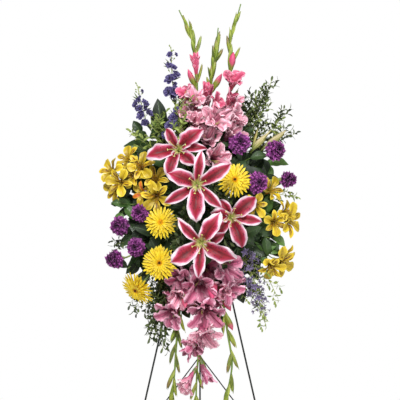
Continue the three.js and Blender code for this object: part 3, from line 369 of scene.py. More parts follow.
# Leafy stems that close the gaps: the foam's face, a, b, the end, how many leaves and their width
FILLERS = [
    ("front", -0.034, 1.238, (-0.1, -0.15, 1.262), 7, 0.038),
    ("front", 0.036, 1.246, (0.06, -0.15, 1.33), 6, 0.034),
    ("front", -0.01, 1.252, (-0.02, -0.15, 1.36), 6, 0.034),
    ("front", 0.04, 1.196, (0.13, -0.15, 1.25), 7, 0.038),
    ("front", 0.04, 1.138, (0.14, -0.146, 1.09), 7, 0.038),
    ("front", -0.036, 1.19, (-0.1, -0.15, 1.18), 7, 0.036),
    ("front", -0.038, 1.142, (-0.13, -0.146, 1.13), 7, 0.038),
    ("front", -0.036, 1.09, (-0.1, -0.146, 1.03), 7, 0.038),
    ("front", 0.036, 1.076, (0.12, -0.146, 1.02), 7, 0.038),
    ("front", 0.02, 1.05, (0.08, -0.146, 0.96), 6, 0.034),
    ("front", -0.014, 1.044, (-0.06, -0.146, 0.93), 6, 0.034),
    ("bottom", 0.016, -0.094, (0.03, -0.13, 0.92), 6, 0.034),
    ("left", -0.104, 1.226, (-0.15, -0.12, 1.25), 7, 0.036),
    ("left", -0.09, 1.19, (-0.22, -0.116, 1.2), 8, 0.036),
    ("left", -0.084, 1.13, (-0.21, -0.116, 1.1), 8, 0.038),
    ("left", -0.09, 1.06, (-0.2, -0.116, 1.0), 8, 0.038),
    ("left", -0.1, 1.036, (-0.15, -0.116, 0.94), 6, 0.034),
    ("right", -0.096, 1.158, (0.19, -0.116, 1.15), 7, 0.036),
    ("right", -0.084, 1.2, (0.22, -0.11, 1.235), 8, 0.036),
    ("right", -0.09, 1.09, (0.2, -0.11, 1.04), 8, 0.038),
    ("right", -0.08, 1.05, (0.15, -0.11, 0.94), 6, 0.036),
    ("top", 0.036, -0.104, (0.11, -0.12, 1.36), 5, 0.03),
    ("top", -0.04, -0.096, (-0.1, -0.11, 1.37), 6, 0.03),
    ("top", -0.03, -0.06, (-0.13, -0.09, 1.36), 7, 0.034),
    ("left", -0.11, 1.11, (-0.17, -0.14, 1.07), 8, 0.036),
    ("front", -0.04, 1.1, (-0.15, -0.164, 1.04), 8, 0.034),
    ("left", -0.104, 1.084, (-0.21, -0.13, 1.04), 8, 0.034),
    ("left", -0.1, 1.214, (-0.24, -0.13, 1.22), 8, 0.032),
    ("left", -0.112, 1.18, (-0.17, -0.14, 1.19), 8, 0.034),
    ("front", 0.04, 1.1, (0.13, -0.16, 1.04), 8, 0.036),
    ("right", -0.1, 1.138, (0.22, -0.124, 1.11), 8, 0.034),
    ("right", -0.1, 1.07, (0.17, -0.13, 0.99), 8, 0.038),
    ("right", -0.09, 1.036, (0.14, -0.13, 0.9), 8, 0.032),
    ("front", 0.044, 1.16, (0.16, -0.16, 1.15), 7, 0.034),
    ("right", -0.104, 1.236, (0.17, -0.128, 1.256), 8, 0.034),
    ("front", 0.046, 1.23, (0.15, -0.164, 1.28), 7, 0.032),
    ("front", -0.006, 1.194, (0.002, -0.2, 1.21), 8, 0.026),
    ("front", 0.032, 1.15, (0.05, -0.19, 1.16), 8, 0.026),
    ("front", -0.022, 1.138, (-0.05, -0.2, 1.14), 8, 0.026),
    ("front", 0.034, 1.108, (0.05, -0.18, 1.06), 8, 0.026),
    ("front", -0.012, 1.074, (-0.03, -0.2, 1.05), 8, 0.026),
    ("front", 0.006, 1.24, (0.02, -0.18, 1.256), 8, 0.026),
    ("front", -0.04, 1.216, (-0.08, -0.176, 1.23), 8, 0.028),
    ("front", 0.018, 1.046, (0.03, -0.196, 1.0), 8, 0.026),
    ("front", -0.036, 1.034, (-0.056, -0.138, 0.8), 10, 0.026),
    ("front", 0.014, 1.034, (0.03, -0.138, 0.776), 9, 0.024),
    ("right", -0.11, 1.09, (0.212, -0.14, 1.04), 8, 0.03),
    ("front", -0.02, 1.16, (-0.07, -0.17, 1.13), 7, 0.034),
    ("front", -0.03, 1.07, (-0.07, -0.17, 1.0), 7, 0.034),
    ("left", -0.08, 1.16, (-0.232, -0.138, 1.138), 6, 0.034),
    ("left", -0.078, 1.04, (-0.22, -0.12, 0.948), 7, 0.028),
    ("right", -0.07, 1.11, (0.206, -0.12, 1.0), 7, 0.03),
    ("bottom", -0.052, -0.08, (-0.172, -0.12, 0.93), 7, 0.026),
    ("right", -0.1, 1.104, (0.22, -0.126, 1.048), 7, 0.025),
    ("top", 0.014, -0.112, (0.014, -0.14, 1.374), 7, 0.028),
    ("bottom", -0.05, -0.114, (-0.132, -0.12, 0.862), 9, 0.018),
    ("front", 0.03, 1.24, (0.06, -0.19, 1.334), 7, 0.016),
    ("right", -0.084, 1.066, (0.214, -0.124, 0.994), 6, 0.025),
    ("left", -0.1, 1.15, (-0.238, -0.12, 1.12), 7, 0.026),
]
LIGHT_FILLERS = (31, 50, 54, 59)  # the numbers of those with lighter leaves
# Thin sprigs of small leaves: the foam's face, a, b, the points beyond and the tone
SPRIGS = [
    ("top", 0.04, -0.09, [(0.1, -0.1, 1.33), (0.15, -0.11, 1.39), (0.186, -0.116, 1.46)], "small"),
    ("top", 0.046, -0.06, [(0.11, -0.07, 1.33), (0.16, -0.08, 1.41), (0.2, -0.086, 1.488)], "small"),
    ("right", -0.06, 1.25, [(0.11, -0.07, 1.3), (0.18, -0.08, 1.35), (0.24, -0.086, 1.396)], "pale"),
    ("right", -0.08, 1.256, [(0.14, -0.096, 1.3), (0.22, -0.11, 1.33), (0.276, -0.114, 1.366)], "small"),
    ("top", 0.02, -0.06, [(0.06, -0.07, 1.34), (0.12, -0.08, 1.4), (0.14, -0.084, 1.46)], "small"),
    ("right", -0.076, 1.178, [(0.14, -0.096, 1.18), (0.22, -0.11, 1.176), (0.284, -0.116, 1.164)], "pale"),
    ("right", -0.11, 1.026, [(0.12, -0.14, 0.99), (0.19, -0.15, 0.94), (0.234, -0.152, 0.86)], "pale"),
    ("bottom", 0.046, -0.09, [(0.1, -0.12, 0.93), (0.16, -0.14, 0.86), (0.198, -0.146, 0.78)], "pale"),
    ("top", -0.05, -0.066, [(-0.1, -0.1, 1.33), (-0.13, -0.13, 1.37), (-0.118, -0.14, 1.41)], "pale"),
    ("top", -0.034, -0.11, [(-0.08, -0.14, 1.32), (-0.11, -0.156, 1.36), (-0.13, -0.16, 1.385)], "pale"),
    ("top", -0.01, -0.114, [(-0.03, -0.15, 1.33), (-0.05, -0.166, 1.38), (-0.042, -0.17, 1.44)], "pale"),
    ("left", -0.1, 1.25, [(-0.12, -0.12, 1.3), (-0.17, -0.14, 1.33), (-0.2, -0.146, 1.35)], "pale"),
    ("bottom", -0.05, -0.06, [(-0.09, -0.09, 0.94), (-0.13, -0.11, 0.86), (-0.14, -0.12, 0.77)], "small"),
    ("bottom", -0.03, -0.11, [(-0.08, -0.13, 0.93), (-0.116, -0.14, 0.85), (-0.134, -0.146, 0.75)], "small"),
    ("bottom", -0.02, -0.06, [(-0.07, -0.08, 0.92), (-0.11, -0.096, 0.84), (-0.12, -0.1, 0.74)], "small"),
    ("left", -0.112, 1.07, [(-0.12, -0.13, 1.0), (-0.15, -0.14, 0.94), (-0.2, -0.14, 0.82)], "small"),
    ("left", -0.08, 1.06, [(-0.15, -0.1, 1.03), (-0.22, -0.12, 1.03), (-0.262, -0.13, 1.016)], "small"),
    ("front", -0.02, 1.128, [(-0.03, -0.16, 1.12), (-0.046, -0.204, 1.1), (-0.04, -0.22, 1.064)], "small"),
    ("front", -0.03, 1.1, [(-0.05, -0.16, 1.06), (-0.068, -0.2, 1.03), (-0.054, -0.214, 0.99)], "small"),
    ("front", 0.03, 1.06, [(0.05, -0.16, 1.04), (0.066, -0.166, 1.016), (0.078, -0.166, 0.992)], "small"),
    ("front", 0.01, 1.19, [(0.026, -0.16, 1.2), (0.05, -0.19, 1.19), (0.074, -0.2, 1.16)], "small"),
    ("front", 0.02, 1.08, [(0.03, -0.16, 1.09), (0.05, -0.2, 1.08), (0.056, -0.21, 1.046)], "small"),
    ("bottom", -0.05, -0.1, [(-0.09, -0.11, 0.96), (-0.12, -0.12, 0.9), (-0.14, -0.124, 0.82)], "small"),
    ("bottom", -0.04, -0.094, [(-0.08, -0.12, 0.95), (-0.104, -0.13, 0.9), (-0.118, -0.134, 0.81)], "small"),
    ("bottom", -0.038, -0.112, [(-0.1, -0.12, 0.94), (-0.136, -0.13, 0.87), (-0.15, -0.134, 0.79)], "small"),
    ("top", -0.05, -0.104, [(-0.05, -0.15, 1.32), (-0.058, -0.2, 1.35), (-0.05, -0.218, 1.39)], "pale"),
    ("top", -0.022, -0.116, [(-0.046, -0.17, 1.34), (-0.06, -0.2, 1.4), (-0.046, -0.216, 1.45)], "pale"),
]


foam_low, foam_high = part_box("foam_block")
SHIFT = np.array([foam_low.x + FOAM["x"], foam_high.y - FOAM["back"], foam_low.z - FOAM["bottom"]])


# Vectors and curves


def vec(p):
    return np.asarray(p, float)


def unit(v):
    v = vec(v)
    return v / max(np.linalg.norm(v), 1e-12)


def mix(a, b, t):
    return vec(a) * (1 - t) + vec(b) * t


def axes_of(face):
    """A flower's own axes: out along its face, then right and up across it."""
    out = unit(face)
    right = unit(np.cross(UP, out))
    return out, right, np.cross(out, right)


def radial(axes, angle):
    return axes[1] * math.cos(angle) + axes[2] * math.sin(angle)


def spline(rows, t):
    """Smooth values at each t through rows, whose first column is the parameter."""
    rows = vec(rows)
    x, y = rows[:, 0], rows[:, 1:]
    slope = np.gradient(y, x, axis=0)
    k = np.clip(np.searchsorted(x, t, side="right") - 1, 0, len(x) - 2)
    h = (x[k + 1] - x[k])[:, None]
    s = (t - x[k])[:, None] / h
    start = (1 + 2 * s) * (1 - s) ** 2 * y[k] + s * (1 - s) ** 2 * h * slope[k]
    return start + s * s * (3 - 2 * s) * y[k + 1] + s * s * (s - 1) * h * slope[k + 1]


def curve(points, steps):
    """Evenly spread points of a smooth curve through the given ones."""
    points = vec(points)
    chords = np.linalg.norm(np.diff(points, axis=0), axis=1)
    lengths = np.concatenate([[0], np.cumsum(np.sqrt(chords))])
    fine = spline(np.column_stack([lengths, points]), np.linspace(0, lengths[-1], 200))
    run = np.concatenate([[0], np.cumsum(np.linalg.norm(np.diff(fine, axis=0), axis=1))])
    at = np.linspace(0, run[-1], steps)
    return np.column_stack([np.interp(at, run, fine[:, k]) for k in range(3)])


def point_on(path, share):
    at = share * (len(path) - 1)
    k = min(int(at), len(path) - 2)
    return mix(path[k], path[k + 1], at - k)


def way_on(path, share):
    k = min(int(share * (len(path) - 1)), len(path) - 2)
    return unit(path[k + 1] - path[k])


def at_height(path, z):
    """The point of a climbing or falling path at a height, or its nearer end."""
    heights = path[:, 2]
    order = np.argsort(heights)
    return np.array([np.interp(z, heights[order], path[order, k]) for k in range(3)])


# Meshes


class Shape:
    """A mesh in the making: grids of quads, each with its look, its UVs and a shade of its own."""

    def __init__(self):
        self.points, self.uvs, self.shades, self.faces, self.looks = [], [], [], [], []
        self.count = 0

    def grid(self, points, look=0, shade=0.5, closed=False):
        rows, columns = points.shape[:2]
        last = columns if closed else columns - 1
        i, j = np.meshgrid(np.arange(rows - 1), np.arange(last), indexing="ij")
        after = (j + 1) % columns
        corners = [i * columns + j, i * columns + after, (i + 1) * columns + after, (i + 1) * columns + j]
        faces = np.stack([c.ravel() for c in corners], axis=1) + self.count
        v, u = np.meshgrid(np.linspace(0, 1, rows), np.linspace(0, 1, columns), indexing="ij")
        self.points.append(points.reshape(-1, 3))
        self.uvs.append(np.stack([u.ravel(), v.ravel()], axis=1))
        self.shades.append(np.full(rows * columns, shade))
        self.faces.append(faces)
        self.looks.append(np.full(len(faces), look))
        self.count += rows * columns

    def make(self, name, looks, nodes=(), body="stand"):
        points = np.concatenate(self.points) + SHIFT
        faces = np.concatenate(self.faces)
        mesh = bpy.data.meshes.new(name)
        mesh.from_pydata(points.tolist(), [], faces.tolist())
        layer = mesh.uv_layers.new(name="UVMap")
        layer.data.foreach_set("uv", np.concatenate(self.uvs)[faces.ravel()].ravel())
        shade = mesh.attributes.new("shade", "FLOAT", "POINT")
        shade.data.foreach_set("value", np.concatenate(self.shades).astype(np.float32))
        mesh.polygons.foreach_set("material_index", np.concatenate(self.looks).astype(np.int32))
        mesh.polygons.foreach_set("use_smooth", np.ones(len(faces), bool))
        for look in looks:
            mesh.materials.append(look)
        mesh.update()
        piece = bpy.data.objects.new(name, mesh)
        bpy.context.scene.collection.objects.link(piece)
        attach(piece, body)
        if nodes:
            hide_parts(*nodes)


def sweep_frames(points):
    """The two directions across a path at each of its points, turning as little as they can."""
    tangents = np.gradient(points, axis=0)
    tangents /= np.maximum(np.linalg.norm(tangents, axis=1), 1e-12)[:, None]
    across = UP if abs(tangents[0][2]) < 0.9 else np.array([1.0, 0, 0])
    sides, others = [], []
    for tangent in tangents:
        across = unit(across - tangent * across.dot(tangent))
        sides.append(across)
        others.append(np.cross(tangent, across))
    return np.array(sides), np.array(others)


def tube(shape, points, radii, sides=8, look=0):
    """A round wire along a path, as thick as its radius or radii say."""
    points = vec(points)
    radii = np.broadcast_to(np.asarray(radii, float), (len(points),))
    side, other = sweep_frames(points)
    angles = np.arange(sides) * TAU / sides
    ring = side[:, None] * np.cos(angles)[None, :, None] + other[:, None] * np.sin(angles)[None, :, None]
    shape.grid(points[:, None] + ring * radii[:, None, None], look, closed=True)


def lathe(shape, base, axis, profile, sides=16, look=0):
    """Turns rows of (height, radius) round an axis."""
    axis = unit(axis)
    first = unit(np.cross(axis, [0.3, 0.5, 0.8]))
    second = np.cross(axis, first)
    angles = np.arange(sides) * TAU / sides
    ring = first * np.cos(angles)[:, None] + second * np.sin(angles)[:, None]
    grid = [base + axis * height + ring * radius for height, radius in profile]
    shape.grid(np.array(grid), look, closed=True)


def petal(shape, base, axes, angle, radius, depth, width, rows, nu, nv, look, shade, draw, **form):
    """A petal from a flower's centre, as a grid of nu by nv points. Its form says how it bends and frays."""
    t = np.linspace(0, 1, nv)
    reach, rise, wide, lift = spline(rows, t).T
    way = radial(axes, angle)
    side = np.cross(axes[0], way)
    sway = form.get("sway", 0) * t**2
    waves = form.get("waves", 3)
    centre = base + way * (reach * radius)[:, None] + axes[0] * (rise * depth)[:, None] + side * sway[:, None]
    tangent = np.gradient(centre, axis=0)
    tangent /= np.maximum(np.linalg.norm(tangent, axis=1), 1e-12)[:, None]
    normal = np.cross(tangent, side)
    turn = form.get("twist", 0) * t
    edge = side * np.cos(turn)[:, None] + normal * np.sin(turn)[:, None]
    normal = normal * np.cos(turn)[:, None] - side * np.sin(turn)[:, None]
    u = np.linspace(-1, 1, nu)[None, :]
    half = np.maximum(wide, 0.02)[:, None] * width / 2
    phase = np.where(u < 0, draw.uniform(0, TAU), draw.uniform(0, TAU))
    wave = np.sin(TAU * waves * t[:, None] + phase) * np.sin(math.pi * np.clip(t * 1.05, 0, 1))[:, None]
    off = lift[:, None] * width * u**2 + form.get("ruffle", 0) * width * np.abs(u) ** 3 * wave
    off = off - form.get("groove", 0) * width * np.exp(-((u / 0.2) ** 2)) * np.sin(math.pi * t)[:, None]
    off = off + form.get("pleat", 0) * width * np.cos(8 * u + phase) * t[:, None]
    trim = 1 + form.get("ragged", 0) * np.sin(TAU * (waves * 1.7 * t[:, None]) + phase * 2)
    points = centre[:, None] + edge[:, None] * (half * u * trim)[..., None] + normal[:, None] * off[..., None]
    teeth = form.get("teeth", 0)
    if teeth:
        bite = np.where(np.arange(nu) % 2 == 0, 0.0, 1.0)[None, :] * np.clip((t - 0.8) / 0.2, 0, 1)[:, None]
        points = points - tangent[:, None] * (bite * teeth * radius)[..., None]
    shape.grid(points, look, shade)


# Looks


def linear(red, green, blue):
    """A screen colour from 0 to 255 as the linear one that shaders take."""
    parts = [c / 255 for c in (red, green, blue)]
    return tuple(c / 12.92 if c <= 0.04045 else ((c + 0.055) / 1.055) ** 2.4 for c in parts) + (1.0,)


# The sockets of a Mix node that blends colours
MIX_FACTOR, MIX_FIRST, MIX_SECOND, MIX_RESULT = 0, 6, 7, 2


class Look:
    """A Principled material and short calls for the nodes that feed it."""

    def __init__(self, name, roughness=0.5, sheen=0.0, coat=0.0, metallic=0.0):
        self.material = bpy.data.materials.new(name)
        self.material.use_nodes = True
        self.nodes = self.material.node_tree.nodes
        self.links = self.material.node_tree.links
        self.shader = self.nodes["Principled BSDF"]
        self.roughness = roughness
        self.shader.inputs["Roughness"].default_value = roughness
        self.shader.inputs["Sheen Weight"].default_value = sheen
        self.shader.inputs["Coat Weight"].default_value = coat
        self.shader.inputs["Metallic"].default_value = metallic
        self.uv = self.node("ShaderNodeTexCoord").outputs["UV"]
        split = self.node("ShaderNodeSeparateXYZ", Vector=self.uv)
        self.across, self.along = split.outputs["X"], split.outputs["Y"]
        self.edge = self.math("ABSOLUTE", self.math("MULTIPLY_ADD", self.across, 2, -1))
        own = self.node("ShaderNodeAttribute")
        own.attribute_name = "shade"
        self.shade = own.outputs["Fac"]

    def node(self, kind, **inputs):
        made = self.nodes.new(kind)
        for name, value in inputs.items():
            self.put(made.inputs[name.replace("_", " ")], value)
        return made

    def put(self, socket, value):
        if isinstance(value, bpy.types.NodeSocket):
            self.links.new(value, socket)
        else:
            socket.default_value = value

    def math(self, kind, *values):
        made = self.nodes.new("ShaderNodeMath")
        made.operation = kind
        for socket, value in zip(made.inputs, values):
            self.put(socket, value)
        return made.outputs[0]

    def ramp(self, factor, stops, ease="EASE"):
        made = self.node("ShaderNodeValToRGB", Fac=factor)
        made.color_ramp.interpolation = ease
        elements = made.color_ramp.elements
        while len(elements) < len(stops):
            elements.new(0.5)
        for element, (place, colour) in zip(elements, stops):
            element.position = place
            element.color = linear(*colour)
        return made.outputs["Color"]

    def steps(self, factor, low, high):
        """A smooth 0 to 1 as factor goes from low to high."""
        made = self.node("ShaderNodeMapRange", Value=factor, From_Min=low, From_Max=high)
        made.interpolation_type = "SMOOTHSTEP"
        return made.outputs["Result"]

    def fades(self, factor, low, high):
        """A smooth 1 to 0 as factor goes from low to high."""
        return self.math("SUBTRACT", 1, self.steps(factor, low, high))

    def blend(self, factor, colour, tone):
        """The colour, mixed with a plain tone as far as the factor says."""
        made = self.nodes.new("ShaderNodeMix")
        made.data_type = "RGBA"
        self.put(made.inputs[MIX_FACTOR], factor)
        self.put(made.inputs[MIX_FIRST], colour)
        self.put(made.inputs[MIX_SECOND], linear(*tone))
        return made.outputs[MIX_RESULT]

    def place(self):
        """The object's own coordinates."""
        return self.node("ShaderNodeTexCoord").outputs["Object"]

    def flow(self, scale):
        """The UVs, stretched, moved on by the piece's own shade."""
        made = self.node("ShaderNodeMapping", Vector=self.uv, Scale=scale)
        shift = self.node("ShaderNodeCombineXYZ", X=self.shade, Y=self.shade, Z=self.shade)
        far = self.node("ShaderNodeVectorMath", Vector=shift.outputs[0])
        far.operation = "SCALE"
        far.inputs["Scale"].default_value = SHADE_STEP
        self.links.new(far.outputs[0], made.inputs["Location"])
        return made.outputs["Vector"]

    def noise(self, vector, scale, detail=2.0):
        return self.node("ShaderNodeTexNoise", Vector=vector, Scale=scale, Detail=detail).outputs["Fac"]

    def streaks(self, scale, detail=2.0):
        """Noise along the UVs, stretched by the scale."""
        return self.noise(self.flow(scale), 1.0, detail)

    def cells(self, vector, scale):
        return self.node("ShaderNodeTexVoronoi", Vector=vector, Scale=scale).outputs["Distance"]

    def finish(self, colour, height, strength, distance, roughness=None):
        """Feeds the shader its colour, the relief of the height and, if there is one, an uneven roughness."""
        self.put(self.shader.inputs["Base Color"], colour)
        if roughness is not None:
            self.put(self.shader.inputs["Roughness"], roughness)
        bump = self.node("ShaderNodeBump", Height=height, Strength=strength, Distance=distance)
        self.put(self.shader.inputs["Normal"], bump.outputs["Normal"])
        return self.material


def petal_look(name, stops, throat=None, reach=(0.05, 0.3), vary=0.2, veins=0.2, bands=26,
               tips=(0.75, 0.25, 0), spots=None, relief=0.0006, **gloss):
    """A petal: colours from its middle to its edges and tip, a throat, streaks along it and spots.

    Tips are where the tip's colour starts, how strong it is at least and what a petal's shade adds."""
    look = Look(name, **gloss)
    wobble = look.streaks((2.5, 4, 1))
    edge = look.math("ADD", look.edge, look.math("MULTIPLY_ADD", wobble, 0.5, -0.25))
    tip_start, tip_least, tip_more = tips
    tip_share = look.math("MULTIPLY_ADD", look.shade, tip_more, tip_least)
    edge = look.math("MULTIPLY_ADD", look.steps(look.along, tip_start, 1.0), tip_share, edge)
    colour = look.ramp(edge, stops)
    if throat:
        colour = look.blend(look.fades(look.along, *reach), colour, throat)
    streak = look.streaks((bands, 1.2, 1), 3)
    height = streak
    if spots:
        marks = look.cells(look.flow(spots["scale"]), 1.0)
        low, high = spots["along"]
        inside = look.math("MULTIPLY", look.steps(look.along, low, low + 0.1),
                           look.fades(look.along, high - 0.15, high))
        inside = look.math("MULTIPLY", inside, look.fades(look.edge, *spots["across"]))
        dot = look.math("MULTIPLY", look.fades(marks, spots["size"] * 0.7, spots["size"]), inside)
        colour = look.blend(dot, colour, spots["colour"])
        height = look.math("ADD", streak, dot)
    value = look.math("MULTIPLY_ADD", look.shade, vary * 2, 1 - vary)
    value = look.math("ADD", value, look.math("MULTIPLY_ADD", streak, veins * 2, -veins))
    tone = look.node("ShaderNodeHueSaturation", Value=value, Color=colour)
    return look.finish(tone.outputs["Color"], height, strength=0.35, distance=relief)


def bud_look(name, low, middle, tip, **gloss):
    """A bud: green at its foot, then the flower's own colour, in fine ribs."""
    look = Look(name, **gloss)
    streak = look.streaks((14, 1.0, 1))
    along = look.math("ADD", look.along, look.math("MULTIPLY_ADD", streak, 0.4, -0.2))
    along = look.math("ADD", along, look.math("MULTIPLY_ADD", look.shade, 0.5, -0.25))
    colour = look.ramp(along, [(0.0, low), (0.35, low), (0.6, middle), (1.0, tip)])
    value = look.math("MULTIPLY_ADD", streak, 0.5, 0.75)
    tone = look.node("ShaderNodeHueSaturation", Value=value, Color=colour)
    return look.finish(tone.outputs["Color"], streak, strength=0.4, distance=0.0008)


def leaf_look(name, dark, pale, vein, rows=8, **gloss):
    """A leaf: mottled, with a midrib and slanting side veins that stand a little proud."""
    look = Look(name, **gloss)
    patch = look.streaks((3, 5, 1), 4)
    own = look.math("MULTIPLY_ADD", look.shade, 0.9, -0.3)
    mixed = look.math("ADD", look.math("MULTIPLY", patch, 0.7), own)
    colour = look.ramp(mixed, [(0.2, dark), (0.8, pale)], "LINEAR")
    slant = look.math("MULTIPLY", look.math("MULTIPLY_ADD", look.edge, -0.3, look.along), rows)
    side = look.fades(look.math("PINGPONG", slant, 0.5), 0.02, 0.09)
    line = look.math("MAXIMUM", look.fades(look.edge, 0.03, 0.09), look.math("MULTIPLY", side, 0.5))
    colour = look.blend(look.math("MULTIPLY", line, 0.6), colour, vein)
    fine = look.streaks((60, 90, 1))
    height = look.math("ADD", look.math("MULTIPLY", line, -1), look.math("MULTIPLY", fine, 0.3))
    dull = look.math("MULTIPLY_ADD", patch, 0.3, look.roughness - 0.1)
    return look.finish(colour, height, strength=0.45, distance=0.0007, roughness=dull)


def stem_look(name, dark, pale, **gloss):
    """A stem: two greens in long streaks, with fine ribs."""
    look = Look(name, **gloss)
    streak = look.streaks((9, 3, 1), 3)
    patch = look.noise(look.place(), 40, 3)
    colour = look.ramp(look.math("MULTIPLY_ADD", streak, 0.5, look.math("MULTIPLY", patch, 0.5)),
                       [(0.3, dark), (0.7, pale)], "LINEAR")
    return look.finish(colour, streak, strength=0.3, distance=0.0004)


def solid_look(name, dark, pale, scale, grain, strength=0.3, distance=0.0003, **gloss):
    """A worked material: two tones in patches, with a fine grain that also dulls it unevenly."""
    look = Look(name, **gloss)
    patch = look.noise(look.place(), scale, 4)
    fine = look.noise(look.place(), grain, 3)
    colour = look.ramp(look.math("MULTIPLY_ADD", fine, 0.4, look.math("MULTIPLY", patch, 0.6)),
                       [(0.35, dark), (0.65, pale)], "LINEAR")
    dull = look.math("MULTIPLY_ADD", fine, 0.3, look.roughness - 0.15)
    return look.finish(colour, fine, strength, distance, dull)


LILY_PETAL = petal_look(
    "lily_petal", [(0.0, (90, 0, 16)), (0.13, (122, 2, 24)), (0.42, (150, 8, 42)), (0.64, (180, 54, 90)),
                   (0.79, (218, 146, 170)), (0.91, (238, 216, 226))],
    throat=(214, 214, 140), reach=(0.04, 0.2), vary=0.16, veins=0.5, bands=12, tips=(0.5, 0.15, 0.75),
    spots={"scale": (10, 20, 1), "size": 0.36, "along": (0.1, 0.7), "across": (0.55, 0.8),
           "colour": (84, 2, 24)},
    roughness=0.55, sheen=0.02)
LILY_FILAMENT = petal_look(
    "lily_filament", [(0.0, (216, 222, 140)), (1.0, (206, 214, 120))], vary=0.1, roughness=0.45)
LILY_STIGMA = petal_look(
    "lily_stigma", [(0.0, (140, 96, 84)), (1.0, (160, 120, 96))], vary=0.1, roughness=0.6)
LILY_BUD = petal_look(
    "lily_bud", [(0.0, (128, 106, 60)), (0.4, (160, 154, 84)), (1.0, (206, 192, 146))],
    throat=(112, 128, 52), reach=(0.05, 0.6), vary=0.3, veins=1.3, bands=9, roughness=0.5)
GLADIOLUS_PETAL = petal_look(
    "gladiolus_petal", [(0.0, (198, 70, 106)), (0.5, (216, 98, 134)), (1.0, (238, 158, 180))],
    throat=(190, 60, 92), reach=(0.1, 0.5), vary=0.2, veins=0.7, bands=10, relief=0.0022,
    roughness=0.5, sheen=0.1)
GLADIOLUS_PALE = petal_look(
    "gladiolus_pale", [(0.0, (220, 134, 158)), (0.5, (230, 168, 186)), (1.0, (238, 202, 212))],
    throat=(176, 74, 112), reach=(0.1, 0.66), vary=0.2, veins=1.3, bands=8, relief=0.003,
    roughness=0.5, sheen=0.1)
GLADIOLUS_DUSKY = petal_look(
    "gladiolus_dusky", [(0.0, (180, 80, 116)), (0.5, (204, 120, 150)), (1.0, (232, 178, 198))],
    throat=(130, 44, 74), reach=(0.1, 0.66), vary=0.24, veins=1.2, bands=8, relief=0.003,
    roughness=0.5, sheen=0.1)
GLADIOLUS_BUD = bud_look("gladiolus_bud", (128, 142, 48), (204, 88, 116), (212, 70, 118), roughness=0.45)
GLADIOLUS_GREEN_BUD = bud_look(
    "gladiolus_green_bud", (110, 130, 38), (140, 156, 52), (130, 110, 62), roughness=0.45)
GLADIOLUS_GREEN = leaf_look(
    "gladiolus_bract", (74, 92, 30), (162, 174, 76), (200, 204, 118), rows=1, roughness=0.42)
GERBERA_RAY = petal_look(
    "gerbera_ray", [(0.0, (228, 188, 4)), (0.6, (236, 200, 8)), (0.86, (244, 218, 22)),
                    (1.0, (252, 240, 80))],
    throat=(232, 160, 8), reach=(0.0, 0.32), vary=0.12, veins=0.14, bands=14, roughness=0.45, sheen=0.05)
GERBERA_EYE = petal_look(
    "gerbera_eye", [(0.0, (214, 140, 16)), (1.0, (240, 186, 30))], vary=0.3, roughness=0.6)
GERBERA_DOT = petal_look("gerbera_dot", [(0.0, (60, 32, 14)), (1.0, (104, 62, 18))], vary=0.3, roughness=0.7)
# The carnation's pale margins and tips are painted highlights on its frills, and its dark middle and throat
# are painted shade deep among the petals.
CARNATION_PETAL = petal_look(
    "carnation_petal", [(0.0, (62, 2, 58)), (0.5, (84, 8, 80)), (0.8, (110, 22, 104)), (1.0, (166, 78, 158))],
    throat=(50, 4, 54), reach=(0.25, 0.9), vary=0.3, veins=0.36, bands=18, roughness=0.7, sheen=0.1)
# The outer petals' dark ochre throat is painted shade at their feet, deep in the cup of the floret.
ALSTRO_OUTER = petal_look(
    "alstroemeria_outer", [(0.0, (188, 156, 16)), (0.6, (210, 180, 28)), (1.0, (230, 206, 72))],
    throat=(130, 104, 20), reach=(0.05, 0.6), vary=0.3, veins=0.7, bands=8, roughness=0.45, sheen=0.05)
ALSTRO_INNER = petal_look(
    "alstroemeria_inner", [(0.0, (204, 166, 16)), (0.6, (216, 184, 28)), (1.0, (230, 204, 70))],
    throat=(196, 108, 18), reach=(0.05, 0.55), vary=0.24, veins=0.5, bands=8,
    spots={"scale": (10, 2.4, 1), "size": 0.56, "along": (0.12, 0.88), "across": (0.85, 1.0),
           "colour": (84, 30, 10)},
    roughness=0.45, sheen=0.05)
ALSTRO_ORANGE = petal_look(
    "alstroemeria_orange", [(0.0, (226, 104, 28)), (0.6, (232, 132, 36)), (1.0, (240, 190, 60))],
    throat=(190, 70, 20), reach=(0.05, 0.45), vary=0.14, veins=0.2, roughness=0.45, sheen=0.05)
LARKSPUR_PETAL = petal_look(
    "larkspur_petal", [(0.0, (54, 44, 92)), (0.5, (68, 58, 110)), (1.0, (118, 110, 158))],
    throat=(34, 22, 70), reach=(0.0, 0.35), vary=0.3, veins=0.24, roughness=0.6, sheen=0.05)
LAVENDER_PETAL = petal_look(
    "lavender_petal", [(0.0, (90, 74, 120)), (0.6, (116, 102, 146)), (1.0, (184, 172, 200))],
    throat=(96, 70, 140), reach=(0.0, 0.35), vary=0.25, veins=0.2, roughness=0.6, sheen=0.05)
STEM_GREEN = stem_look("stem_green", (84, 116, 44), (132, 156, 72), roughness=0.45)
STEM_PALE = stem_look("stem_pale", (140, 156, 78), (176, 186, 108), roughness=0.45)
LEAF_DARK = leaf_look("leaf_dark", (16, 32, 12), (50, 78, 32), (84, 112, 56), roughness=0.5, coat=0.04)
LEAF_MID = leaf_look("leaf_mid", (40, 74, 30), (92, 132, 58), (128, 160, 88), roughness=0.42, coat=0.05)
LEAF_PALE = leaf_look("leaf_pale", (112, 134, 52), (166, 182, 96), (184, 196, 120), rows=5, roughness=0.5)
LEAF_SMALL = leaf_look("leaf_small", (34, 48, 28), (96, 112, 62), (124, 136, 84), rows=5, roughness=0.5)
WIRE = solid_look("easel_wire", (18, 22, 20), (36, 42, 38), 30, 700, roughness=0.4, coat=0.2, metallic=0.3)
CAGE_PLASTIC = solid_look("cage_plastic", (22, 58, 34), (36, 82, 48), 24, 900, roughness=0.45)
FOAM_WET = solid_look("wet_foam", (38, 74, 36), (74, 112, 60), 60, 420, 0.8, 0.0012, roughness=0.85)
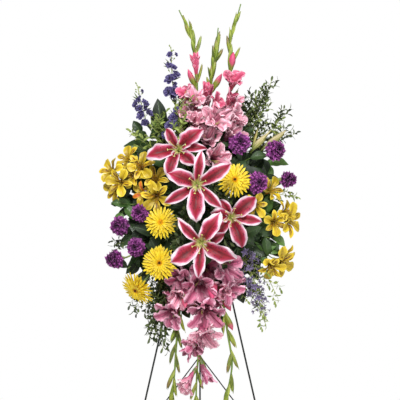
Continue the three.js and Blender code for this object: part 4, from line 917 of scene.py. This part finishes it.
FLOOR_PAINT = solid_look("floor_paint", (236, 236, 234), (242, 242, 240), 2, 60, 0.1, roughness=0.9)


# Stems and leaves


def swing(draw, most):
    """A random number from -most to most."""
    return draw.uniform(-most, most)


def socket_point(side, a, b):
    return vec({
        "front": (a, FOAM["front"], b),
        "left": (-FOAM["x"], a, b),
        "right": (FOAM["x"], a, b),
        "top": (a, b, FOAM["top"]),
        "bottom": (a, b, FOAM["bottom"]),
    }[side])


def stem(shape, socket, beyond, radii, look=0, steps=30, sides=10):
    """Draws a stem from inside the foam through the points beyond and returns its path outside the foam."""
    entry = socket_point(*socket)
    way = unit(vec(WAY_IN[socket[0]]) - 0.5 * unit(vec(beyond[0]) - entry))
    path = np.vstack([entry + SINK * way, curve([entry - 0.006 * way, *beyond], steps)])
    tube(shape, path, np.concatenate([[radii[0]], np.linspace(*radii, steps)]), sides, look)
    return path[1:]


def carry(shape, socket, base, axes, radius, back):
    """The stem of a single bloom, from the foam to the bloom's back."""
    knee = base - axes[0] * back * 1.5
    bend = mix(socket_point(*socket), knee, 0.62) - (0, back * 0.15, 0)
    return stem(shape, socket, [bend, knee, base - axes[0] * back], (radius, radius))


def leaf(shape, root, tip, width, draw, face=(0.1, -1, 0.2), look=0, outline=BROAD, nu=7, nv=12, **form):
    """A leaf from root to tip: bowed, folded at its midrib and wavy along its edges."""
    root, tip = vec(root), vec(tip)
    run = tip - root
    length = np.linalg.norm(run)
    t = np.linspace(0, 1, nv)
    arch = np.sin(math.pi * t)
    side = unit(np.cross(run, unit(face)))
    out = unit(np.cross(side, run))
    bow = form.get("bow", 0.1) * length * arch
    sway = swing(draw, 0.06) * length * arch
    middle = root + run * t[:, None] + out * bow[:, None] + side * sway[:, None]
    half = spline(outline, t)[:, 0] * width / 2
    lobes = form.get("lobes", 0)
    if lobes:
        half = half * (1 - 0.55 * (0.5 + 0.5 * np.cos(TAU * lobes * t)) * arch)
    u = np.linspace(-1, 1, nu)[None, :]
    turns = TAU * form.get("waves", 2) * t[:, None] + draw.uniform(0, TAU) + 1.3 * (u > 0)
    fold = form.get("fold", 0.16) * width * np.abs(u)
    wave = form.get("wave", 0.05) * width * u**2 * np.sin(turns)
    turn = swing(draw, 0.5) * t[:, None]
    flat = half[:, None] * u
    off = (fold + wave) * np.sin(math.pi * np.clip(t, 0.02, 0.98))[:, None]
    across = flat * np.cos(turn) - off * np.sin(turn)
    lift = flat * np.sin(turn) + off * np.cos(turn)
    points = middle[:, None] + side * across[..., None] + out * lift[..., None]
    shape.grid(points, look, draw.random())


def bract(shape, root, tip, width, draw, side, forward, bow, fold=-0.3, nv=8):
    """A narrow green blade that hugs a gladiolus bud or floret from one side."""
    leaf(shape, root, tip, width, draw, side - (0, forward, 0), 2, GRASS, 5, nv, bow=bow, fold=fold, wave=0.0)


def stalked_leaf(shape, origin, tip, width, draw, look, **form):
    """A leaf held off its stem by a thin stalk, of the piece's look 1, when the tip is far from it."""
    origin, tip = vec(origin), vec(tip)
    reach = np.linalg.norm(tip - origin)
    length = min(reach, width * LEAF_LENGTH)
    root = mix(tip, origin, length / reach)
    if reach - length > 0.006:
        tube(shape, curve([origin, mix(origin, root, 0.6) + (0, -0.004, 0.003), root], 7), 0.0012, 6, 1)
    leaf(shape, root, tip, width, draw, look=look, **form)


def twig(shape, path, start, count, draw, look, length=SMALL_LEAF, width=0.0085):
    """Small leaves spiralling round a twig, from a share of its length to its tip."""
    for k in range(count):
        share = start + (0.985 - start) * k / (count - 1)
        root = point_on(path, share)
        along = way_on(path, share)
        way = radial(axes_of(along), k * GOLDEN + swing(draw, 0.3))
        rise = 2 if k == count - 1 else 0.55
        size = length * draw.uniform(0.75, 1.1) * (1 - 0.35 * max(0, share - 0.6))
        tip = root + unit(way + along * rise) * size
        leaf(shape, root, tip, size * width / length * 1.05, draw, unit(along + way * 0.3), look, OVAL, 5, 6,
             bow=0.08, fold=0.12)


def side_arm(shape, path, share, turn, out, reach, radius):
    """Draws a thin side arm of a leafy stem, shorter near the stem's end, and returns the arm's path."""
    root = point_on(path, share)
    along = way_on(path, share)
    way = radial(axes_of(along), turn)
    reach *= 1.2 - 0.6 * share
    knee = root + unit(way * out + along * 0.6) * reach * 0.5
    arm = curve([root, knee, root + unit(way * 0.6 + along) * reach], 8)
    tube(shape, arm, radius, 5)
    return arm


def bud(shape, root, tip, radius, look=0, shade=0.5, ribs=3, sides=12, steps=10, bend=0.0):
    """A closed bud with soft ribs that wind round it."""
    root, tip = vec(root), vec(tip)
    t = np.linspace(0, 1, steps)
    path = root + (tip - root) * t[:, None]
    path = path + np.array([0, -1, 0]) * (bend * np.linalg.norm(tip - root) * np.sin(math.pi * t))[:, None]
    profile = spline(BUD_OUTLINE, t)[:, 0] * radius
    side, other = sweep_frames(path)
    angles = np.arange(sides) * TAU / sides
    turned = angles[None, :] + 1.4 * t[:, None]
    swell = 1 + 0.14 * np.cos(ribs * angles)[None, :]
    ring = side[:, None] * np.cos(turned)[..., None] + other[:, None] * np.sin(turned)[..., None]
    shape.grid(path[:, None] + ring * (profile[:, None] * swell)[..., None], look, shade, closed=True)


# Flowers


def lily(number, base, face, tepals, socket):
    draw = random.Random(f"lily {number}")
    base, axes = vec(base), axes_of(face)
    bloom = Shape()
    for k, (angle, reach, width) in enumerate(tepals):
        inner = k % 2 == 0
        petal(bloom, base + axes[0] * (0.001 if inner else -0.0015), axes, math.radians(angle), reach, reach,
              width * (1.12 if inner else 1.0), LILY_TEPAL, 13, 22, 0, draw.random(), draw,
              ruffle=0.15 if inner else 0.08, waves=draw.uniform(2.6, 3.8), groove=0.08, ragged=0.018,
              twist=swing(draw, 0.55), sway=swing(draw, 0.012))
    bloom.make(f"lily_{number}_bloom", [LILY_PETAL], [f"lily_{number}_petals"])
    stalk = Shape()
    path = carry(stalk, socket, base, axes, 0.004, 0.01)
    for k in range(LILY_LEAVES):
        share = 0.2 + 0.62 * k / (LILY_LEAVES - 1)
        way = radial(axes, k * GOLDEN) + way_on(path, share) * 0.35
        tip = point_on(path, share) + way * draw.uniform(0.05, 0.07)
        leaf(stalk, point_on(path, share), tip, draw.uniform(0.014, 0.019), draw, look=3 + k % 2, bow=0.16)
    lathe(stalk, base, axes[0], [(-0.013, 0.0042), (-0.006, 0.0056), (0.004, 0.0054), (0.01, 0.003)], 12)
    style = [base + axes[0] * h - axes[2] * 0.004 * (h / STYLE) ** 2 for h in np.linspace(0.008, STYLE, 9)]
    tube(stalk, style, np.linspace(0.0017, 0.0015, 9), 8, 1)
    stigma = [(-0.002, 0.0016), (0.001, 0.0032), (0.003, 0.0028), (0.0036, 0.0004)]
    lathe(stalk, style[-1], axes[0], stigma, 9, 2)
    for k in range(STAMENS):
        way = radial(axes, k * TAU / STAMENS + math.radians(20) + swing(draw, 0.1))
        root = base + axes[0] * 0.009 + way * 0.003
        tip = base + way * 0.024 + axes[0] * (0.052 + swing(draw, 0.003))
        middle = mix(root, tip, 0.55) - way * 0.003 + axes[0] * 0.003
        arc = curve([root, middle, tip, tip + way * 0.003 + axes[0] * 0.002], 10)
        tube(stalk, arc, np.linspace(0.0012, 0.0007, 10), 6, 1)
        anther = unit(np.cross(axes[0], way)) * 0.0035
        tube(stalk, [arc[-1] - anther, arc[-1], arc[-1] + anther], [0.0005, 0.0014, 0.0005], 6, 1)
    looks = [STEM_GREEN, LILY_FILAMENT, LILY_STIGMA, LEAF_DARK, LEAF_MID]
    stalk.make(f"lily_{number}_stalk", looks, [f"lily_{number}_stem"])


def lily_buds():
    draw = random.Random("lily buds")
    shape = Shape()
    fork = vec(BUD_FORK)
    stem(shape, ("right", -0.084, 1.236), [BUD_KNEE, fork], (0.0035, 0.003))
    for low, high, radius in LILY_BUDS:
        tube(shape, [fork, mix(fork, low, 0.6), low], [0.002, 0.002, 0.003])
        bud(shape, low, high, radius * 1.04, 1, 0.6, 3, 18, 18, 0.03)
    for low, high in BUD_BRACTS:
        bud(shape, low, high, 0.004, 1, 0.5, 3, 10, 12, 0.02)
    for share, tip, width in BUD_LEAVES:
        leaf(shape, mix(BUD_KNEE, fork, share), tip, width, draw, look=2, outline=GRASS, bow=0.15)
    shape.make("lily_buds_fine", [STEM_GREEN, LILY_BUD, LEAF_MID], ["lily_buds"])


def half_open_bud(shape, draw, path, falls, tip, length, radius):
    """A gladiolus bud with two bracts, pink once it is thick and low enough."""
    root = at_height(path, tip[2] - falls * length)
    pink = radius > PINK_RADIUS and PINK_BUDS[0] < tip[2] < PINK_BUDS[1]
    bud(shape, mix(root, tip, 0.06), tip, radius * (1.15 if pink else 0.7), 1 if pink else 5,
        draw.random(), 3, 10, 12, draw.uniform(-0.03, 0.05))
    out = unit(tip - root)
    cover = draw.uniform(0.4, 0.55) if pink else draw.uniform(0.85, 1.05)
    for turn in (-1, 1):
        side = unit(np.cross(out, (0, -1, 0.2))) * turn
        end = mix(root, tip, cover * (1 - 0.12 * turn)) + side * radius * 0.5
        bract(shape, root, end, 0.012 if falls > 0 else 0.014, draw, side, 0.8, 0.06)


def closed_buds(shape, draw, path, low, run, count):
    """The green buds along the end of a gladiolus spike, smaller towards its tip."""
    for k in range(count):
        share = low + run * k / (count - 1)
        root = point_on(path, share)
        along = way_on(path, share)
        side = np.array([1.0 if k % 2 else -1.0, -0.3, 0])
        tip = root + unit(along + side * 0.09) * 0.062 * (1.1 - 0.4 * k / count)
        bud(shape, root, tip, 0.0054 * (1.15 - 0.4 * k / count), 5, draw.random(), 3, 8, 9)
        bract(shape, root - along * 0.004, tip + side * 0.002, 0.012, draw, side, 0.9, 0.03)


def gladiolus_floret(shape, draw, root, mouth, radius, wide, rows, look, ragged):
    """An open floret: its throat, six ruffled petals, three stamens and two bracts."""
    axes = axes_of(mouth - root)
    reach = np.linalg.norm(mouth - root)
    base = mix(root, mouth, 0.3)
    throat = [mix(root, base, t) for t in np.linspace(0, 1, 5)]
    tube(shape, throat, [0.0022, 0.0026, 0.0032, 0.004, 0.005], 10, 3)
    start = draw.uniform(0, TAU)
    for k in range(6):
        inner = k % 2
        petal(shape, base - axes[0] * 0.0015 * (1 - inner), axes, start + k * TAU / 6,
              wide * draw.uniform(0.86, 1.14), reach * draw.uniform(0.6, 0.9),
              radius * (0.98 if inner else 1.18), rows, 13, 18, look, draw.random(), draw, ruffle=0.15,
              waves=draw.uniform(3.4, 5), ragged=ragged, groove=0.06, pleat=0.075, twist=swing(draw, 0.6),
              sway=swing(draw, 0.006))
    for k in range(3):
        way = radial(axes, start + 0.6 + k * 0.35)
        middle = base + axes[0] * reach * 0.35 + way * radius * 0.15
        anther = base + axes[0] * reach * 0.6 + way * radius * 0.35
        tube(shape, curve([base, middle, anther], 7), 0.0007, 5, 4)
    for turn in (-1, 1):
        side = unit(np.cross(axes[0], (0.1, 0.2, 1))) * turn
        tip = mix(root, mouth, 0.62) + side * radius * 0.22
        bract(shape, root, tip, 0.011, draw, side, 0.6, 0.08, -0.2, 7)


def gladiolus(number, socket, route, buds, florets):
    draw = random.Random(f"gladiolus {number}")
    shape = Shape()
    path = stem(shape, socket, route, (0.005, 0.0018), 0, 60)
    upright = path[-1][2] > path[0][2]
    falls = 1 if upright else -1
    for x, y, z, length, radius in [*buds, *EXTRA_BUDS.get(number, [])]:
        half_open_bud(shape, draw, path, falls, vec((x, y, z)), length, radius)
    closed_buds(shape, draw, path, *(SPIKE_BUDS if upright else HANGING_BUDS))
    for k, (x, y, z, radius, rise) in enumerate([*florets, *EXTRA_FLORETS[number]]):
        rows = TRUMPET_TEPAL if radius < TRUMPET_RADIUS else GLADIOLUS_TEPAL if upright else HANGING_TEPAL
        wide = radius * (UPRIGHT_SPREAD if upright else HANGING_SPREAD) * SNUG_FLORETS.get((number, k), 1)
        wide *= 0.86 if k < 2 and upright else 1.12 if radius > LARGE_RADIUS else 1
        look = 6 if k > 1 and (upright or k % 3 == 2) else 3
        gladiolus_floret(shape, draw, at_height(path, z - falls * rise), vec((x, y, z)), radius, wide, rows,
                         look, 0.05 if upright else 0.08)
    petals = GLADIOLUS_PETAL if upright else GLADIOLUS_DUSKY
    looks = [STEM_GREEN, GLADIOLUS_BUD, GLADIOLUS_GREEN, petals, LILY_FILAMENT, GLADIOLUS_GREEN_BUD,
             GLADIOLUS_PALE]
    shape.make(f"gladiolus_{number}_fine", looks, [f"gladiolus_{number}"])


def gerbera(number, base, face, radius, socket):
    draw = random.Random(f"gerbera {number}")
    base, axes = vec(base), axes_of(face)
    head = Shape()
    for count, reach, width, (foot, middle, tip) in GERBERA_RINGS:
        turn = draw.uniform(0, TAU)
        rows = [(0, 0.14, foot, 0.35, 0.02), (0.45, 0.5, middle, 0.85, 0.14),
                (0.8, 0.84, (middle + tip) / 2, 1.0, 0.1), (0.93, 0.96, tip * 0.9, 0.7, 0.05),
                (1, 1.02, tip, 0.16, 0.0)]
        for k in range(count):
            petal(head, base, axes, turn + k * TAU / count + swing(draw, 0.05),
                  radius * reach * draw.uniform(0.91, 1.04), radius, radius * width * draw.uniform(0.85, 1.1),
                  rows, 5, 9, 0, draw.random(), draw, groove=0.12, twist=swing(draw, 0.3),
                  sway=swing(draw, 0.002))
    for k in range(EYE_FLORETS):
        share = math.sqrt((k + 0.5) / EYE_FLORETS)
        way = radial(axes, k * GOLDEN)
        foot = base + way * share * radius * 0.22 + axes[0] * (0.001 + 0.004 * (1 - share**2))
        look = 2 if share < 0.3 and number != PALE_EYE else 1
        bud(head, foot, foot + axes[0] * 0.0042 + way * 0.0012, 0.0013, look, draw.random(), 3, 5, 4)
    lathe(head, base, axes[0], [(-0.007, 0.003), (-0.006, radius * 0.2), (-0.001, radius * 0.24),
                                (0.002, radius * 0.2), (0.0045, 0.001)], 20, 1)
    looks = [GERBERA_RAY, GERBERA_EYE, GERBERA_DOT]
    head.make(f"gerbera_{number}_bloom", looks, [f"gerbera_{number}_head"])
    green = Shape()
    carry(green, socket, base, axes, 0.0035, 0.014)
    lathe(green, base, axes[0], [(-0.017, 0.0036), (-0.014, 0.007), (-0.0085, 0.011), (-0.0068, 0.0105)])
    for k in range(GERBERA_BRACTS):
        way = radial(axes, k * GOLDEN)
        foot = base - axes[0] * (0.015 - 0.005 * (k % 3)) + way * (0.005 + 0.0016 * (k % 3))
        leaf(green, foot, foot + way * 0.0065 + axes[0] * 0.0055, 0.0032, draw, way, 1, OVAL, 3, 4)
    green.make(f"gerbera_{number}_stalk", [STEM_GREEN, LEAF_MID], [f"gerbera_{number}_stem"])


def carnation(number, base, face, radius, socket):
    draw = random.Random(f"carnation {number}")
    base, axes = vec(base), axes_of(face)
    radius = radius * CARNATION_SIZE
    root = base - axes[0] * 0.012
    shape = Shape()
    carry(shape, socket, base, axes, 0.0026, 0.03)
    lathe(shape, base, axes[0], [(-0.034, 0.003), (-0.031, 0.0052), (-0.02, 0.0068), (-0.012, 0.0076)], 14)
    for k in range(5):
        way = radial(axes, k * TAU / 5)
        foot = base - axes[0] * 0.013 + way * 0.0072
        leaf(shape, foot, foot + way * 0.003 + axes[0] * 0.007, 0.006, draw, way, 0, GRASS, 3, 4)
    for count, reach, rise in CARNATION_RINGS:
        turn = draw.uniform(0, TAU)
        high = rise * radius + 0.012
        rows = [(0, 0.06, 0.0, 0.14, 0.0), (0.35, 0.22, 0.6, 0.4, 0.1), (0.7, 0.66, 0.98, 0.9, 0.03),
                (1, 1.0, 0.88 if rise < 0.5 else 1.04, 1.08, 0.0)]
        for k in range(count):
            tall = high * draw.uniform(0.9, 1.1)
            petal(shape, root, axes, turn + k * TAU / count + swing(draw, 0.12),
                  radius * reach * draw.uniform(0.9, 1.06), tall, radius * 0.98, rows, 15, 10, 1,
                  draw.random(), draw, ruffle=0.2, waves=draw.uniform(1.6, 3.0), teeth=0.1,
                  twist=swing(draw, 0.5))
    shape.make(f"carnation_{number}_fine", [STEM_PALE, CARNATION_PETAL], [f"carnation_{number}"])


def alstroemeria(number, socket, fork, florets):
    draw = random.Random(f"alstroemeria {number}")
    shape = Shape()
    fork = vec(fork)
    stem(shape, socket, [mix(socket_point(*socket), fork, 0.5), fork], (0.003, 0.0024))
    for k in range(4):
        tip = fork + radial(axes_of((0, -1, 0)), k * 1.9 + 0.5) * 0.045 + (0, -0.004, 0)
        leaf(shape, fork, tip, 0.013, draw, look=3, outline=GRASS, nu=5, nv=8, bow=0.14)
    for k, (x, y, z, radius) in enumerate([*florets, *MORE_ALSTROS.get(number, [])]):
        mouth = vec((x, y, z))
        reach = min(ALSTRO_REACH, np.linalg.norm(mouth - fork))
        axes = axes_of(unit(mouth - fork) - (0, 0.6, 0))
        root = mouth - axes[0] * reach
        tube(shape, curve([fork, mix(fork, root, 0.6) - (0, 0.002, 0.004), root], 8), 0.0015)
        inside = 5 if (number, k) == ORANGE_INSIDE else 2
        lathe(shape, root, axes[0], [(-0.004, 0.0018), (0.0, 0.0034), (0.005, 0.0036), (0.008, 0.003)], 12)
        base = root + axes[0] * 0.005
        start = draw.uniform(0, TAU)
        for j in range(6):
            wide = j % 2 == 0
            petal(shape, base, axes, start + j * TAU / 6, radius * ALSTRO_SPREAD * draw.uniform(0.86, 1.06),
                  reach * draw.uniform(0.8, 1.0), radius * (1.02 if wide else 0.66),
                  ALSTRO_WIDE if wide else ALSTRO_NARROW, 9, 14, 1 if wide else inside, draw.random(), draw,
                  ruffle=0.09, waves=2.6, groove=0.1, twist=swing(draw, 0.4), sway=swing(draw, 0.004))
        for j in range(6):
            way = radial(axes, start + 0.3 + j)
            tip = base + axes[0] * reach * 0.95 + way * radius * 0.3
            tube(shape, curve([base, mix(base, tip, 0.5) + way * 0.001, tip], 7), 0.0006, 5, 1)
            bud(shape, tip, tip + axes[0] * 0.004, 0.0014, 4, 0.2, 2, 6, 5)
    looks = [STEM_GREEN, ALSTRO_OUTER, ALSTRO_INNER, LEAF_MID, LILY_STIGMA, ALSTRO_ORANGE]
    shape.make(f"alstroemeria_{number}_fine", looks, [f"alstroemeria_{number}"])


def spurred_floret(shape, draw, root, mouth, radius, rows, rings, wide):
    """A floret of a larkspur or lavender stem, on a thin stalk and with a spur behind it."""
    tube(shape, curve([root, mix(root, mouth, 0.5) + (0, 0, 0.001), mouth], 5), 0.0006, 5)
    axes = axes_of(mouth - root + (swing(draw, 0.006), -0.004, draw.uniform(-0.006, 0.004)))
    foot = mouth - axes[0] * radius * 0.35
    start = draw.uniform(0, TAU)
    for ring in range(rings):
        for k in range(5):
            petal(shape, foot, axes, start + (k + ring * 0.5) * TAU / 5,
                  radius * (1.2 - 0.5 * ring) * draw.uniform(0.85, 1.1), radius * (0.5 + 0.4 * ring),
                  radius * (wide - 0.35 * ring), rows, 5, 6, 1, draw.random(), draw, ruffle=0.08, waves=1.5,
                  twist=swing(draw, 0.5))
    tail = foot - axes[0] * 0.8 * radius + axes[2] * radius * 0.4
    tube(shape, curve([foot, mix(foot, tail, 0.5), tail], 5), [0.0018, 0.0014, 0.001, 0.0007, 0.0003], 6, 1)


def larkspur(number, socket, route, florets):
    draw = random.Random(f"larkspur {number}")
    shape = Shape()
    path = stem(shape, socket, route, (0.0026, 0.0012), 0, 40, 8)
    falls = -1 if path[-1][2] < path[0][2] else 1
    lavender = number == LAVENDER
    rows, rings, wide, count, low, high, spread = LAVENDER_FORM if lavender else LARKSPUR_FORM
    for x, y, z, radius in florets:
        root = at_height(path, z - falls * 0.014)
        spurred_floret(shape, draw, root, vec((x, y, z)), radius, rows, rings, wide)
    for k in range(count):
        share = low + (high - low) * k / (count - 1)
        root = point_on(path, share)
        way = radial(axes_of((0.1, -1, 0.1)), k * GOLDEN + swing(draw, 0.4))
        reach = spread * draw.uniform(0.6, 1.15) * (1.25 - 0.8 * share if lavender else 1)
        mouth = root + way * reach - (0, 0.012 * draw.uniform(0.4, 1.2), 0)
        radius = draw.uniform(0.006, 0.009) * (1.15 - 0.3 * share)
        spurred_floret(shape, draw, root, mouth, radius, rows, rings, wide)
    for k in range(TIP_BUDS):
        share = 0.74 + 0.255 * k / (TIP_BUDS - 1)
        root = point_on(path, share)
        along = way_on(path, share)
        way = radial(axes_of((0.2, -1, 0.1)), k * GOLDEN)
        middle = root + way * 0.0098 * (1.15 - 0.7 * (share - 0.74) / 0.25) + along * 0.003
        tube(shape, [root, middle], 0.0005, 5)
        look = 1 if k % 3 == 0 and k < 8 else 3
        bud(shape, middle, middle + way * 0.004 + along * 0.0045, 0.0023, look, 0.4, 3, 6, 6)
    front = axes_of((0, -1, 0))
    for k in range(LEAF_TUFTS):
        root = point_on(path, 0.16 + 0.11 * k)
        angle = k * GOLDEN + 1
        for turn in (-0.4, 0.1, 0.5):
            foot = root + radial(front, angle) * 0.002
            tip = root + radial(front, angle + turn) * 0.026 + (0, -0.006, 0.01 * falls)
            leaf(shape, foot, tip, 0.0045, draw, look=2, outline=GRASS, nu=3, nv=6)
    looks = [STEM_PALE, LAVENDER_PETAL if lavender else LARKSPUR_PETAL, LEAF_SMALL, LEAF_PALE]
    shape.make(f"larkspur_{number}_fine", looks, [f"larkspur_{number}"])


# Greenery


def boxwood(number, socket, route, start):
    draw = random.Random(f"boxwood {number}")
    shape = Shape()
    path = stem(shape, socket, route, (0.0022, 0.0009), 0, 40, 8)
    leaves, arms, arm_leaves = BOXWOOD_FORM
    twig(shape, path, start, leaves, draw, 1)
    for k in range(arms):
        share = start + (0.92 - start) * k / (arms - 1)
        arm = side_arm(shape, path, share, k * GOLDEN + 0.8, 0.9, 0.052, 0.0006)
        twig(shape, arm, 0.2, arm_leaves, draw, 1 if k % 4 else 2, SMALL_LEAF * 0.9)
    looks = [STEM_PALE, LEAF_SMALL, LEAF_PALE]
    shape.make(f"boxwood_{number}_fine", looks, [f"boxwood_{number}"])


def broad_leaves(number, socket, route, leaves):
    draw = random.Random(f"broad {number}")
    shape = Shape()
    path = stem(shape, socket, route, (0.0026, 0.0016), 1, 24, 8)
    for k, (share, x, y, z, width) in enumerate(leaves):
        lobed = (number, k) == LOBED_LEAF
        look = 2 if (number, k) in LIGHT_LEAVES else 0
        face = (draw.uniform(-0.15, 0.25), -1, draw.uniform(0.05, 0.4))
        stalked_leaf(shape, point_on(path, share), (x, y, z), width * (1.25 if lobed else 1.08), draw, look,
                     face=face, lobes=4 if lobed else 0, nu=9, nv=26 if lobed else 16,
                     waves=draw.choice((2, 3)))
    looks = [LEAF_DARK, STEM_GREEN, LEAF_MID]
    shape.make(f"broad_leaves_{number}_fine", looks, [f"broad_leaves_{number}"])


def filler(number, side, a, b, end, leaves, width):
    draw = random.Random(f"filler {number}")
    shape = Shape()
    start = socket_point(side, a, b)
    path = stem(shape, (side, a, b), [mix(start, end, 0.5) - (0, 0.006, 0), end], (0.0022, 0.0014), 1, 20, 8)
    for k in range(leaves):
        root = point_on(path, 0.35 + 0.63 * k / (leaves - 1))
        way = radial(axes_of((0, -1, 0)), k * GOLDEN + number)
        tip = root + way * width * draw.uniform(1.5, 2.1) + (0, draw.uniform(-0.012, 0.004), 0)
        face = (swing(draw, 0.3), -1, draw.uniform(0, 0.5))
        leaf(shape, root, tip, width * draw.uniform(0.85, 1.1), draw, face, nv=11)
    shape.make(f"filler_{number}", [LEAF_MID if number in LIGHT_FILLERS else LEAF_DARK, STEM_GREEN])


def sprig(number, side, a, b, beyond, tone):
    draw = random.Random(f"sprig {number}")
    shape = Shape()
    path = stem(shape, (side, a, b), beyond, (0.0016, 0.0007), 0, 30, 6)
    leaves, arms, arm_leaves = SPRIG_FORM[tone]
    twig(shape, path, 0.4, leaves, draw, 1)
    for k in range(arms):
        arm = side_arm(shape, path, 0.42 + 0.5 * k / (arms - 1), k * GOLDEN + number, 1, 0.05, 0.0005)
        twig(shape, arm, 0.2, arm_leaves, draw, 1, SMALL_LEAF * 0.85, 0.008)
    shape.make(f"sprig_{number}", [STEM_PALE, LEAF_PALE if tone == "pale" else LEAF_SMALL])


# Everything in its place


def build_all(build, rows):
    for number, row in enumerate(rows, 1):
        build(number, *row)


build_all(lily, LILIES)
lily_buds()
build_all(gladiolus, GLADIOLI)
build_all(gerbera, GERBERAS)
build_all(carnation, CARNATIONS)
build_all(alstroemeria, ALSTROEMERIAS)
build_all(larkspur, LARKSPURS)
build_all(boxwood, BOXWOODS)
build_all(broad_leaves, BROAD_LEAVES)
build_all(filler, FILLERS)
build_all(sprig, SPRIGS)

# The moulded ribs on the back of the cage's plate
ribs = Shape()
low, high = RIB_HEIGHTS[0], RIB_HEIGHTS[-1]
lines = [((-RIB_REACH, z), (RIB_REACH, z)) for z in RIB_HEIGHTS]
lines += [((x, low), (x, OUTER_RIB_TOP if abs(x) == RIB_REACH else high)) for x in RIB_PLACES]
for (x0, z0), (x1, z1) in lines:
    ends = vec([(x0, PLATE_BACK, z0), (x1, PLATE_BACK, z1)])
    tube(ribs, [mix(*ends, t) for t in (0, 0.004, 0.5, 0.996, 1)], [0.0001, RIB, RIB, RIB, 0.0001])
ribs.make("cage_ribs", [CAGE_PLASTIC])

CARRIED = {
    "front_leg_left": WIRE, "front_leg_right": WIRE, "easel_head": WIRE, "rear_leg": WIRE, "leg_brace": WIRE,
    "foam_block": FOAM_WET, "foam_cage": CAGE_PLASTIC,
}
for name, look in CARRIED.items():
    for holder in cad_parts[name].material_slots:
        holder.link = "OBJECT"
        holder.material = look


# Floor, light and camera

floor_mesh = bpy.data.meshes.new("floor")
corners = [(-FLOOR, -FLOOR, 0), (FLOOR, -FLOOR, 0), (FLOOR, FLOOR, 0), (-FLOOR, FLOOR, 0)]
floor_mesh.from_pydata(corners, [], [(0, 1, 2, 3)])
floor_mesh.materials.append(FLOOR_PAINT)
floor = bpy.data.objects.new("floor", floor_mesh)
bpy.context.scene.collection.objects.link(floor)

world = bpy.data.worlds.new("studio")
world.use_nodes = True
ground = world.node_tree.nodes["Background"]
ground.inputs["Color"].default_value = (1, 1, 1, 1)
rays = world.node_tree.nodes.new("ShaderNodeLightPath")
strength = world.node_tree.nodes.new("ShaderNodeMath")
strength.operation = "MULTIPLY_ADD"
strength.inputs[1].default_value = SKY_SEEN - SKY_LIGHT
strength.inputs[2].default_value = SKY_LIGHT
world.node_tree.links.new(rays.outputs["Is Camera Ray"], strength.inputs[0])
world.node_tree.links.new(strength.outputs[0], ground.inputs["Strength"])
bpy.context.scene.world = world

for name, (place, target, size, power) in LAMPS.items():
    light = bpy.data.lights.new(name, "AREA")
    light.shape = "DISK"
    light.size = size
    light.energy = power
    lamp = bpy.data.objects.new(name, light)
    lamp.location = vec(place) + SHIFT
    lamp.rotation_euler = mathutils.Vector(vec(target) - vec(place)).to_track_quat("-Z", "Y").to_euler()
    bpy.context.scene.collection.objects.link(lamp)

lens = bpy.data.cameras.new("camera")
lens.lens = LENS
lens.sensor_width = SENSOR
camera = bpy.data.objects.new("camera", lens)
camera.location = SHIFT + (0, -VIEW_DISTANCE, VIEW_HEIGHT)
camera.rotation_euler = (math.pi / 2, 0, 0)
bpy.context.scene.collection.objects.link(camera)
bpy.context.scene.camera = camera
bpy.context.scene.view_settings.view_transform = "Standard"
